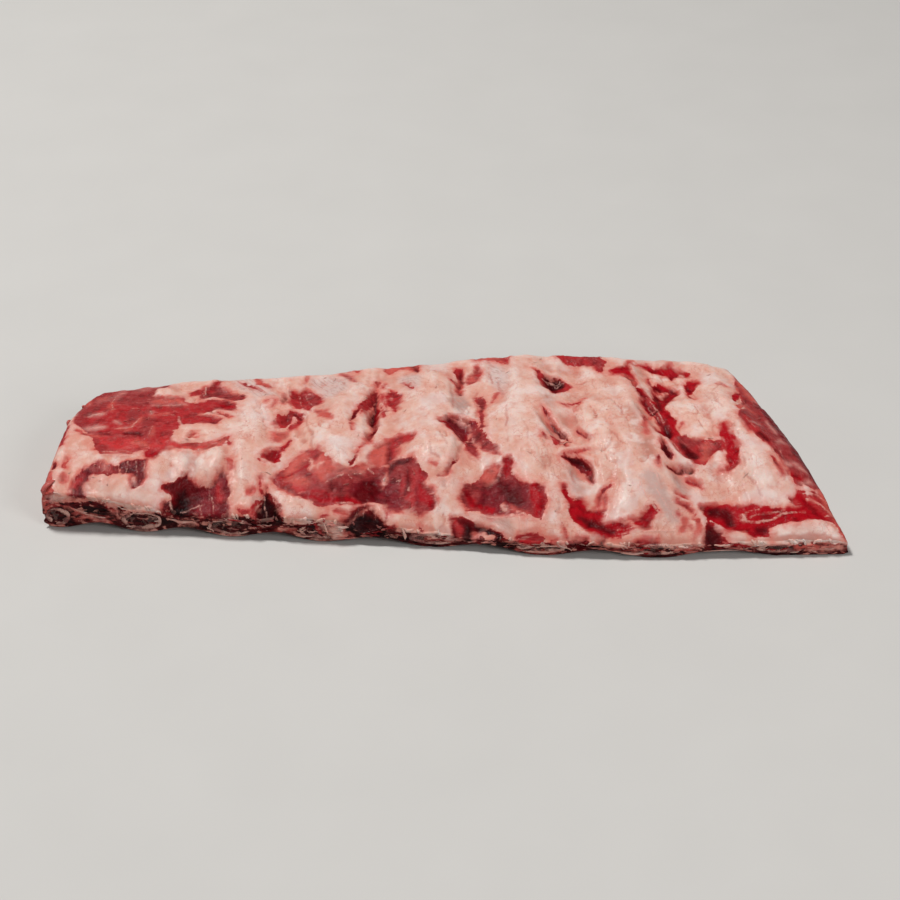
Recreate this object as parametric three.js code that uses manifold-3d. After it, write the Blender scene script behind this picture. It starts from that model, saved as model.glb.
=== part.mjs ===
// A raw rack of beef back ribs, lying on its membrane side.
// Eight rib bones run across the rack inside one body of lean and fat. Each bone is a tube of hard bone
// round a core of spongy marrow, and both show at the sawn edge and again at the spine edge.
// Millimetres. X runs along the sawn edge, Y from the sawn edge to the spine edge, Z up.
// The origin is under the middle of the rack, on the surface that it lies on.

import * as THREE from "three";
import { mergeVertices } from "three/addons/utils/BufferGeometryUtils.js";
import Module from "manifold-3d";

// Plan of the rack. Each edge is a curve through a few of its points.
const SAWN_EDGE = [
  [-228, -80], [-68, -81], [-2, -81], [55, -83.5], [122, -80.5], [173, -74.5], [227, -69],
];
const SPINE_EDGE = [
  [-228, 19], [-192, 28], [-154, 39], [-97, 48], [-33, 66], [28, 78], [89, 83.2], [165, 82.8],
];
const LEFT_X = -226;
const LEFT_CORNER_IN = 15; // how far the left end's corner at the spine edge is rounded off
const RIGHT_NEAR_X = 226;
const RIGHT_FAR_X = 164;
const RIGHT_BULGE = 1; // how far the slanting right end stands out of a straight line

// Heights of the top surface along the rack: at the sawn edge, over its highest part, and at the spine edge.
const TOP_AT_SAWN_EDGE = [
  [-227, 25], [-192, 21], [-169, 17], [-119, 14.5], [-66, 14.5], [-2, 10], [226, 9],
];
const TOP_AT_CREST = [
  [-227, 30], [-152, 32], [-62, 33.5], [38, 35], [122, 35], [188, 32], [226, 28],
];
const TOP_AT_SPINE_EDGE = [
  [-227, 27], [-152, 28], [-102, 28.5], [-33, 28], [38, 30.5], [120, 28], [161, 29.5],
];
const CREST_AT = 0.46; // share of the way from the sawn edge to the spine edge
const RIGHT_FALL = 6; // how much lower the top is at the right end
const RIGHT_FALL_OVER = 34; // the distance from the right end over which it falls
const SINK_FROM_SAWN = 0.17; // share of the depth over which the flesh between the ribs starts to sink
const SINK_FROM_SPINE = 0.12;

// The ribs arch over the surface below, and the flesh between them is drawn up from below.
const ARCH_HEIGHT = 12;
const ARCH_DEPTH = 160; // the rib length at which the arch has that height
const ARCH_END = 0.94; // share of the way from the sawn edge at which the arch comes down again
const UNDER_HOLLOW = 5;
const EDGE_ROUND = 8; // how far in from the spine edge and the ends the rim is rounded
const RIM_SHARE = 0.5; // share of the thickness that is left standing at that rim
const THINNEST = 3.5; // least thickness, between the ribs at the sawn edge

// One row for each rib: where it crosses the sawn edge and the spine edge, its section at each (width and
// thickness), and how deep the flesh sinks between it and the next rib.
const RIBS = [
  { sawnX: -217, spineX: -206, sawn: [15, 12.5], spine: [13, 12], sinks: 0.5 },
  { sawnX: -169, spineX: -155, sawn: [24, 13], spine: [15, 12], sinks: 1.5 },
  { sawnX: -119, spineX: -108, sawn: [27, 11.5], spine: [16, 12], sinks: 3.5 },
  { sawnX: -68, spineX: -62, sawn: [26, 11], spine: [17, 12.5], sinks: 4.5 },
  { sawnX: -6, spineX: -18, sawn: [26, 8], spine: [17, 13], sinks: 5 },
  { sawnX: 55, spineX: 36, sawn: [28, 7.5], spine: [18, 13], sinks: 5 },
  { sawnX: 119, spineX: 90, sawn: [32, 7.5], spine: [18, 13], sinks: 5.5 },
  { sawnX: 190, spineX: 148, sawn: [34, 6.5], spine: [18, 12], sinks: 0 },
];
const BONE_COVER_BELOW = 1.2; // flesh and membrane under each bone
const BONE_WALL = 1.9; // hard bone round the marrow
const GAP = 0.3; // between neighbouring solids

// Relief of the top: the middle of each dish or lump, half its length, half its width, the turn of its
// length from X in degrees, and how far it rises. Those that rise less than 0 are hollows, where fat is
// torn or cut away and lean lies open. The last five open at the sawn edge.
const RELIEF = [
  { x: -144, y: 23, long: 22, wide: 10, turn: -12, rises: -2.5 },
  { x: -91, y: 22, long: 13, wide: 11, turn: -20, rises: -3 },
  { x: -98, y: -4, long: 10, wide: 8, turn: 60, rises: -3 },
  { x: -100, y: -38, long: 9, wide: 6, turn: 70, rises: -3.5 },
  { x: -48, y: 9, long: 34, wide: 7, turn: 92, rises: -5 },
  { x: 1, y: 41, long: 18, wide: 8, turn: 85, rises: -3 },
  { x: 8, y: -9, long: 22, wide: 10, turn: -55, rises: -5.5 },
  { x: 56, y: 45, long: 13, wide: 12, turn: 0, rises: -5 },
  { x: 58, y: -3, long: 24, wide: 7, turn: -62, rises: -5 },
  { x: 75, y: -37, long: 13, wide: 9, turn: -45, rises: -4.5 },
  { x: 122, y: 42, long: 14, wide: 12, turn: 80, rises: -4 },
  { x: 115, y: 13, long: 34, wide: 9, turn: -63, rises: -4.5 },
  { x: 132, y: -35, long: 18, wide: 10, turn: -50, rises: -4 },
  { x: 150, y: -15, long: 18, wide: 12, turn: -20, rises: -2 },
  { x: 31, y: -55, long: 26, wide: 14, turn: -15, rises: -2 },
  { x: -34, y: -51, long: 26, wide: 16, turn: -10, rises: -2 },
  { x: -170, y: 14, long: 20, wide: 9, turn: -30, rises: 1.5 },
  { x: -133, y: -46, long: 15, wide: 12, turn: 70, rises: 1.5 },
  { x: -188, y: -67, long: 14, wide: 9, turn: 10, rises: 1 },
  { x: -72, y: -10, long: 38, wide: 14, turn: 80, rises: 1.5 },
  { x: -7, y: -27, long: 14, wide: 13, turn: 0, rises: 2.5 },
  { x: 32, y: 17, long: 42, wide: 13, turn: 70, rises: 1.5 },
  { x: 82, y: -1, long: 26, wide: 10, turn: -65, rises: 2 },
  { x: 116, y: -43, long: 34, wide: 15, turn: -75, rises: 1.5 },
  { x: 170, y: 10, long: 52, wide: 11, turn: -66, rises: 2 },
  { x: 203, y: -63, long: 24, wide: 9, turn: 0, rises: 1.5 },
  { x: -139, y: -71, long: 20, wide: 18, turn: 0, rises: -4 },
  { x: -98, y: -79, long: 18, wide: 9, turn: 110, rises: -6 },
  { x: -42, y: -82, long: 15, wide: 12, turn: 0, rises: -6.5 },
  { x: 21, y: -83, long: 17, wide: 11, turn: -15, rises: -4.5 },
  { x: 150, y: -77, long: 10, wide: 9, turn: -60, rises: -3.5 },
];

// Fineness of the solids.
const STATIONS = 72; // sections along the rack
const ACROSS = 22; // points across each face of a section
const CROWDING = 0.7; // from 0 to 1, how much closer together they are toward the rounded rims
const RIB_SIDES = 12;
const RIB_STEPS = 5;
const ROD_OVERRUN = 0.06; // share of its length that a rib's rod runs past each edge before it is trimmed

const clamp01 = (q) => Math.min(1, Math.max(0, q));
const mix = (a, b, q) => a + (b - a) * q;
const smooth = (q) => clamp01(q) ** 2 * (3 - 2 * clamp01(q));

// A smooth curve y(x) through the given points: cubic pieces whose slopes don't overshoot at the ends.
function through(points) {
  const slope = points.map((p, i) => {
    const before = points[Math.max(0, i - 1)];
    const after = points[Math.min(points.length - 1, i + 1)];
    return (after[1] - before[1]) / (after[0] - before[0]);
  });
  return (x) => {
    let i = 0;
    while (i < points.length - 2 && x > points[i + 1][0]) i += 1;
    const [x0, y0] = points[i];
    const [x1, y1] = points[i + 1];
    const span = x1 - x0;
    const q = clamp01((x - x0) / span);
    const rise = q * q * (3 - 2 * q);
    const lead = q * (1 - q) ** 2 * slope[i] * span;
    const trail = q * q * (q - 1) * slope[i + 1] * span;
    return mix(y0, y1, rise) + lead + trail;
  };
}

const sawnY = through(SAWN_EDGE);
const spineY = through(SPINE_EDGE);
const sawnTop = through(TOP_AT_SAWN_EDGE);
const crestTop = through(TOP_AT_CREST);
const spineTop = through(TOP_AT_SPINE_EDGE);

const leftX = (t) => LEFT_X + LEFT_CORNER_IN * t ** 8;
const rightX = (t) => mix(RIGHT_NEAR_X, RIGHT_FAR_X, t) + RIGHT_BULGE * 4 * t * (1 - t);
const ribX = (rib, t) => mix(rib.sawnX, rib.spineX, t);

// The place in plan of the point a share s along the rack and a share t across it.
function plan(s, t) {
  const x = mix(leftX(t), rightX(t), s);
  return [x, mix(sawnY(x), spineY(x), t)];
}

// How far x lies into the gap between two ribs, from 0 over a rib to 1 half way, times what the rib on its
// left says of that gap. It is 0 outside the first and the last rib.
function betweenRibs(x, t, valueOf) {
  const at = RIBS.map((rib) => ribX(rib, t));
  const i = at.findIndex((left, k) => x >= left && x < at[k + 1]);
  if (i < 0) return 0;
  const q = (x - at[i]) / (at[i + 1] - at[i]);
  return (0.5 - 0.5 * Math.cos(2 * Math.PI * q)) * valueOf(RIBS[i]);
}

function archZ(x, t) {
  const depth = spineY(x) - sawnY(x);
  const q = clamp01(t / ARCH_END);
  return ARCH_HEIGHT * (depth / ARCH_DEPTH) ** 2 * 4 * q * (1 - q);
}

const bottomZ = (x, t) => archZ(x, t) + UNDER_HOLLOW * betweenRibs(x, t, () => 1);

// Height of the relief at a point. Each dish or lump is round at its middle and has a soft border.
function reliefZ(x, y) {
  return RELIEF.reduce((sum, r) => {
    const turn = (r.turn * Math.PI) / 180;
    const along = (x - r.x) * Math.cos(turn) + (y - r.y) * Math.sin(turn);
    const aside = (y - r.y) * Math.cos(turn) - (x - r.x) * Math.sin(turn);
    return sum + r.rises * smooth(1 - Math.hypot(along / r.long, aside / r.wide));
  }, 0);
}

function topZ(x, y, t) {
  const past = t < CREST_AT ? 1 - t / CREST_AT : (t - CREST_AT) / (1 - CREST_AT);
  const foot = t < CREST_AT ? sawnTop(x) : spineTop(x);
  const nearRight = clamp01(1 - (rightX(t) - x) / RIGHT_FALL_OVER);
  const inFromEdges = smooth(t / SINK_FROM_SAWN) * smooth((1 - t) / SINK_FROM_SPINE);
  const sunk = betweenRibs(x, t, (rib) => rib.sinks) * inFromEdges;
  const fall = RIGHT_FALL * nearRight ** 2 * smooth(t / SINK_FROM_SAWN);
  return mix(crestTop(x), foot, past ** 2) - fall - sunk + reliefZ(x, y);
}

// How full the thickness is a distance d in from a rounded rim.
function fullness(d) {
  const q = clamp01(d / EDGE_ROUND);
  return mix(RIM_SHARE, 1, Math.sqrt(1 - (1 - q) ** 2));
}

// Top and bottom heights at s, t, with the rim rounded at the spine edge and the two ends.
function heights(s, t) {
  const [x, y] = plan(s, t);
  const fromRim = Math.min(spineY(x) - y, x - leftX(t), rightX(t) - x);
  const bottom = bottomZ(x, t);
  const top = Math.max(topZ(x, y, t), bottom + THINNEST);
  const middle = mix(bottom, top, 0.5);
  const full = fullness(fromRim);
  return { x, y, top: mix(middle, top, full), bottom: mix(middle, bottom, full) };
}

// Shares from 0 to 1, closer together near 1, and near 0 too where bothEnds is set.
function shares(count, bothEnds) {
  return Array.from({ length: count }, (_, i) => {
    const q = i / (count - 1);
    return mix(q, bothEnds ? smooth(q) : Math.sin((q * Math.PI) / 2), CROWDING);
  });
}

const wasm = await Module();
wasm.setup();

function solidFrom(geometry) {
  const bare = geometry.clone();
  bare.deleteAttribute("normal");
  bare.deleteAttribute("uv");
  const merged = mergeVertices(bare, 1e-4);
  return new wasm.Manifold(
    new wasm.Mesh({
      numProp: 3,
      vertProperties: new Float32Array(merged.attributes.position.array),
      triVerts: new Uint32Array(merged.index.array),
    }),
  );
}

function geometryFrom(solid) {
  const { vertProperties, triVerts } = solid.getMesh();
  const geometry = new THREE.BufferGeometry();
  geometry.setAttribute("position", new THREE.BufferAttribute(new Float32Array(vertProperties), 3));
  geometry.setIndex(new THREE.BufferAttribute(new Uint32Array(triVerts), 1));
  const faceted = geometry.toNonIndexed();
  faceted.computeVertexNormals();
  return faceted;
}

// The outer shape of the rack: one closed ring of points for each station, over the top and back underneath.
function rackShape() {
  const across = shares(ACROSS, false);
  const rings = shares(STATIONS, true).map((s) => {
    const row = across.map((t) => heights(s, t));
    const over = row.map((p) => [p.x, p.y, p.top]);
    const under = row.map((p) => [p.x, p.y, p.bottom]).reverse();
    return [...over, ...under];
  });
  const around = 2 * ACROSS;
  const at = (ring, i) => ring * around + (i % around);
  const faces = [];
  for (let ring = 0; ring < rings.length - 1; ring += 1) {
    for (let i = 0; i < around; i += 1) {
      faces.push(at(ring, i), at(ring + 1, i), at(ring, i + 1));
      faces.push(at(ring + 1, i), at(ring + 1, i + 1), at(ring, i + 1));
    }
  }
  const last = rings.length - 1;
  for (let i = 0; i < ACROSS - 1; i += 1) {
    const mate = around - 1 - i; // the point under point i
    faces.push(at(0, i), at(0, i + 1), at(0, mate));
    faces.push(at(0, i + 1), at(0, mate - 1), at(0, mate));
    faces.push(at(last, i), at(last, mate), at(last, i + 1));
    faces.push(at(last, i + 1), at(last, mate), at(last, mate - 1));
  }
  const geometry = new THREE.BufferGeometry();
  geometry.setAttribute("position", new THREE.Float32BufferAttribute(rings.flat(2), 3));
  geometry.setIndex(faces);
  return solidFrom(geometry);
}

// A rod along a rib, of an oval section that changes evenly from the sawn edge to the spine edge.
// inset is taken off its whole outside. It runs past both edges, to be trimmed by the rack's shape.
function ribRod(rib, inset) {
  const rings = Array.from({ length: RIB_STEPS + 1 }, (_, step) => {
    const t = mix(-ROD_OVERRUN, 1 + ROD_OVERRUN, step / RIB_STEPS);
    const x = ribX(rib, t);
    const width = mix(rib.sawn[0], rib.spine[0], t);
    const thick = mix(rib.sawn[1], rib.spine[1], t);
    const y = mix(sawnY(x), spineY(x), t);
    const z = archZ(x, t) + BONE_COVER_BELOW + thick / 2;
    return Array.from({ length: RIB_SIDES }, (__, side) => {
      const angle = (side / RIB_SIDES) * 2 * Math.PI;
      return [x + Math.cos(angle) * (width / 2 - inset), y, z + Math.sin(angle) * (thick / 2 - inset)];
    });
  });
  const at = (ring, side) => ring * RIB_SIDES + (side % RIB_SIDES);
  const faces = [];
  for (let ring = 0; ring < RIB_STEPS; ring += 1) {
    for (let side = 0; side < RIB_SIDES; side += 1) {
      faces.push(at(ring, side), at(ring + 1, side), at(ring, side + 1));
      faces.push(at(ring, side + 1), at(ring + 1, side), at(ring + 1, side + 1));
    }
  }
  for (let side = 1; side < RIB_SIDES - 1; side += 1) {
    faces.push(at(0, 0), at(0, side), at(0, side + 1));
    faces.push(at(RIB_STEPS, 0), at(RIB_STEPS, side + 1), at(RIB_STEPS, side));
  }
  const geometry = new THREE.BufferGeometry();
  geometry.setAttribute("position", new THREE.Float32BufferAttribute(rings.flat(2), 3));
  geometry.setIndex(faces);
  return solidFrom(geometry);
}

function meshOf(name, solid, material) {
  const mesh = new THREE.Mesh(geometryFrom(solid), material);
  mesh.name = name;
  return mesh;
}

const fleshMaterial = new THREE.MeshStandardMaterial({ color: 0xc98f83, roughness: 0.4, metalness: 0 });
const boneMaterial = new THREE.MeshStandardMaterial({ color: 0xd9b9a8, roughness: 0.5, metalness: 0 });
const marrowMaterial = new THREE.MeshStandardMaterial({ color: 0x4a1c1a, roughness: 0.6, metalness: 0 });

const rack = new THREE.Group();
const whole = rackShape();
let flesh = whole;
RIBS.forEach((rib, i) => {
  flesh = flesh.subtract(ribRod(rib, -GAP));
  const bone = ribRod(rib, 0).subtract(ribRod(rib, BONE_WALL)).intersect(whole);
  const marrow = ribRod(rib, BONE_WALL + GAP).intersect(whole);
  rack.add(meshOf(`rib_bone_${i + 1}`, bone, boneMaterial));
  rack.add(meshOf(`marrow_${i + 1}`, marrow, marrowMaterial));
});
rack.add(meshOf("flesh", flesh, fleshMaterial));

export default rack;
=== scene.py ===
"""A raw rack of beef back ribs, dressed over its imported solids.

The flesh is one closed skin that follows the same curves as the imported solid, with a finer relief. Lean,
fat, silverskin, tendons and creases are laid on it one after the other, as outlines and strokes with their
places in millimetres, and its material turns them into colour, wetness and fibre. Each rib has a bone and a
marrow piece, and small shreds stand proud of the flesh.
"""

import math

import bpy
import numpy as np
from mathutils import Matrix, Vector
from mathutils.bvhtree import BVHTree


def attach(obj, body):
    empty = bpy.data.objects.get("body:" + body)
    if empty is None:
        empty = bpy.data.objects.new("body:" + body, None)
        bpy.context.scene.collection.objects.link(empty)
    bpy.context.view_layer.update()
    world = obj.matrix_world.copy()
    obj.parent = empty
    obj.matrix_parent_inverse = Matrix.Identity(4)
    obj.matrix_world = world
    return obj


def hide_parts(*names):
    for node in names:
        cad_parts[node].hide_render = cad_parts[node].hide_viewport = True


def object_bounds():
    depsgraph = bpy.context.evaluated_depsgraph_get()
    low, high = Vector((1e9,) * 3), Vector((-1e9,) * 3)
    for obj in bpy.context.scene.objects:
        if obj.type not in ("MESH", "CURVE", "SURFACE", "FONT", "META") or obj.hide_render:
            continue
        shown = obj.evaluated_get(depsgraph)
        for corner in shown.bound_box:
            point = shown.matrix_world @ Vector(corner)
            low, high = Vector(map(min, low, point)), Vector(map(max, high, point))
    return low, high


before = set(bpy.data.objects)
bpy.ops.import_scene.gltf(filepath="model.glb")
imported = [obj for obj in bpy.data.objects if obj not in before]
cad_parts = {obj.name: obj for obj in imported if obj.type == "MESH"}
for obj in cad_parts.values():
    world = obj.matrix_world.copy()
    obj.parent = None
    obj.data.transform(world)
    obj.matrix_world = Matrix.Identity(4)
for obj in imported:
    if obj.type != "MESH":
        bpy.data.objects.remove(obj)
CAD_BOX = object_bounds()
MM = 0.001

# ---------------------------------------------------------------- the form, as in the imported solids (mm)

SAWN_EDGE = [(-228, -80), (-68, -81), (-2, -81), (55, -83.5), (122, -80.5), (173, -74.5), (227, -69)]
SPINE_EDGE = [
    (-228, 19), (-192, 28), (-154, 39), (-97, 48), (-33, 66), (28, 78), (89, 83.2), (165, 82.8),
]
LEFT_X = -226
LEFT_CORNER_IN = 15
RIGHT_NEAR_X = 226
RIGHT_FAR_X = 164
RIGHT_BULGE = 1
TOP_AT_SAWN_EDGE = [
    (-227, 25), (-192, 21), (-169, 17), (-119, 14.5), (-66, 14.5), (-2, 10), (226, 9),
]
TOP_AT_CREST = [(-227, 30), (-152, 32), (-62, 33.5), (38, 35), (122, 35), (188, 32), (226, 28)]
TOP_AT_SPINE_EDGE = [
    (-227, 27), (-152, 28), (-102, 28.5), (-33, 28), (38, 30.5), (120, 28), (161, 29.5),
]
CREST_AT = 0.46
RIGHT_FALL = 6
RIGHT_FALL_OVER = 34
SINK_FROM_SAWN = 0.17
SINK_FROM_SPINE = 0.12
ARCH_HEIGHT = 12
ARCH_DEPTH = 160
ARCH_END = 0.94
UNDER_HOLLOW = 5
EDGE_ROUND = 8
RIM_SHARE = 0.5
THINNEST = 3.5

# For each rib: its place on the sawn and the spine edge, its section at each, and how deep the flesh sinks
# between it and the next rib.
RIBS = [
    (-217, -206, (15, 12.5), (13, 12), 0.5),
    (-169, -155, (24, 13), (15, 12), 1.5),
    (-119, -108, (27, 11.5), (16, 12), 3.5),
    (-68, -62, (26, 11), (17, 12.5), 4.5),
    (-6, -18, (26, 8), (17, 13), 5),
    (55, 36, (28, 7.5), (18, 13), 5),
    (119, 90, (32, 7.5), (18, 13), 5.5),
    (190, 148, (34, 6.5), (18, 12), 0),
]
BONE_COVER_BELOW = 1.2
BONE_WALL = 1.9

# Dishes and lumps of the top: middle, half its length, half its width, turn in degrees, rise.
RELIEF = [
    (-144, 23, 22, 10, -12, -2.5), (-91, 22, 13, 11, -20, -3), (-98, -4, 10, 8, 60, -3),
    (-100, -38, 9, 6, 70, -3.5), (-48, 9, 34, 7, 92, -5), (1, 41, 18, 8, 85, -3),
    (8, -9, 22, 10, -55, -5.5), (56, 45, 13, 12, 0, -5), (58, -3, 24, 7, -62, -5),
    (75, -37, 13, 9, -45, -4.5), (122, 42, 14, 12, 80, -4), (115, 13, 34, 9, -63, -4.5),
    (132, -35, 18, 10, -50, -4), (150, -15, 18, 12, -20, -2), (31, -55, 26, 14, -15, -2),
    (-34, -51, 26, 16, -10, -2), (-170, 14, 20, 9, -30, 1.5), (-133, -46, 15, 12, 70, 1.5),
    (-188, -67, 14, 9, 10, 1), (-72, -10, 38, 14, 80, 1.5), (-7, -27, 14, 13, 0, 2.5),
    (32, 17, 42, 13, 70, 1.5), (82, -1, 26, 10, -65, 2), (116, -43, 34, 15, -75, 1.5),
    (170, 10, 52, 11, -66, 2), (203, -63, 24, 9, 0, 1.5), (-139, -71, 20, 18, 0, -4),
    (-98, -79, 18, 9, 110, -6), (-42, -82, 15, 12, 0, -6.5), (21, -83, 17, 11, -15, -4.5),
    (150, -77, 10, 9, -60, -3.5),
]

# ---------------------------------------------------------------- what lies where on the top (mm)

# Each kind of tissue, and the kinds that are painted shade and painted highlight: whether it opens lean (1),
# covers it with fat (-1) or leaves that as it is (0), its colour (sRGB), how far it rises, and over how many
# mm its edge is soft.
KINDS = {
    "sheet": (1, (150, 48, 50), -0.2, 1.6),
    "haze": (1, (180, 100, 96), -0.2, 3.0),
    "wine": (1, (124, 24, 34), -0.45, 1.8),
    "dusk": (1, (108, 28, 34), -0.6, 2.0),
    "red": (1, (176, 40, 44), -0.4, 1.8),
    "vivid": (1, (198, 50, 52), -0.35, 2.4),
    "bright": (1, (172, 8, 24), -0.5, 1.4),
    "deep": (1, (94, 4, 12), -0.9, 2.0),
    # Near black: painted shadow in the deepest clefts, pockets and notches.
    "black": (1, (14, 2, 3), -2.2, 2.0),
    "light": (1, (206, 92, 82), -0.15, 2.2),
    "fascia": (1, (220, 158, 148), -0.1, 2.6),
    "fat": (-1, (236, 200, 188), 0.2, 1.0),
    "lobe": (-1, (234, 190, 174), 1.2, 4),
    "pink": (0, (218, 138, 122), 0, 3),
    # Brownish pink: mostly painted shade in the valleys and on the shaded sides of ridges.
    "brown": (0, (190, 134, 120), -0.4, 5),
    "grey": (0, (180, 148, 140), -0.7, 2.5),
    "film": (0, (200, 166, 158), -0.4, 2.4),
    "silver": (0, (214, 190, 184), 0.1, 4),
    # Pale: a painted highlight along the fat's ridges.
    "ridge": (0, (234, 206, 196), 0.3, 5),
    # Palest cream: painted light on fat that the lamps leave too dark.
    "cream": (0, (244, 224, 216), 0.1, 4),
}
FAT = (228, 182, 166)
STRIPED = {"silver": 1.0, "grey": 0.3}  # how strongly silverskin's stripes show on a kind
VEILED = {"film": 1.0, "grey": 0.45}  # how strongly a kind hides the fat's own mottling

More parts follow.
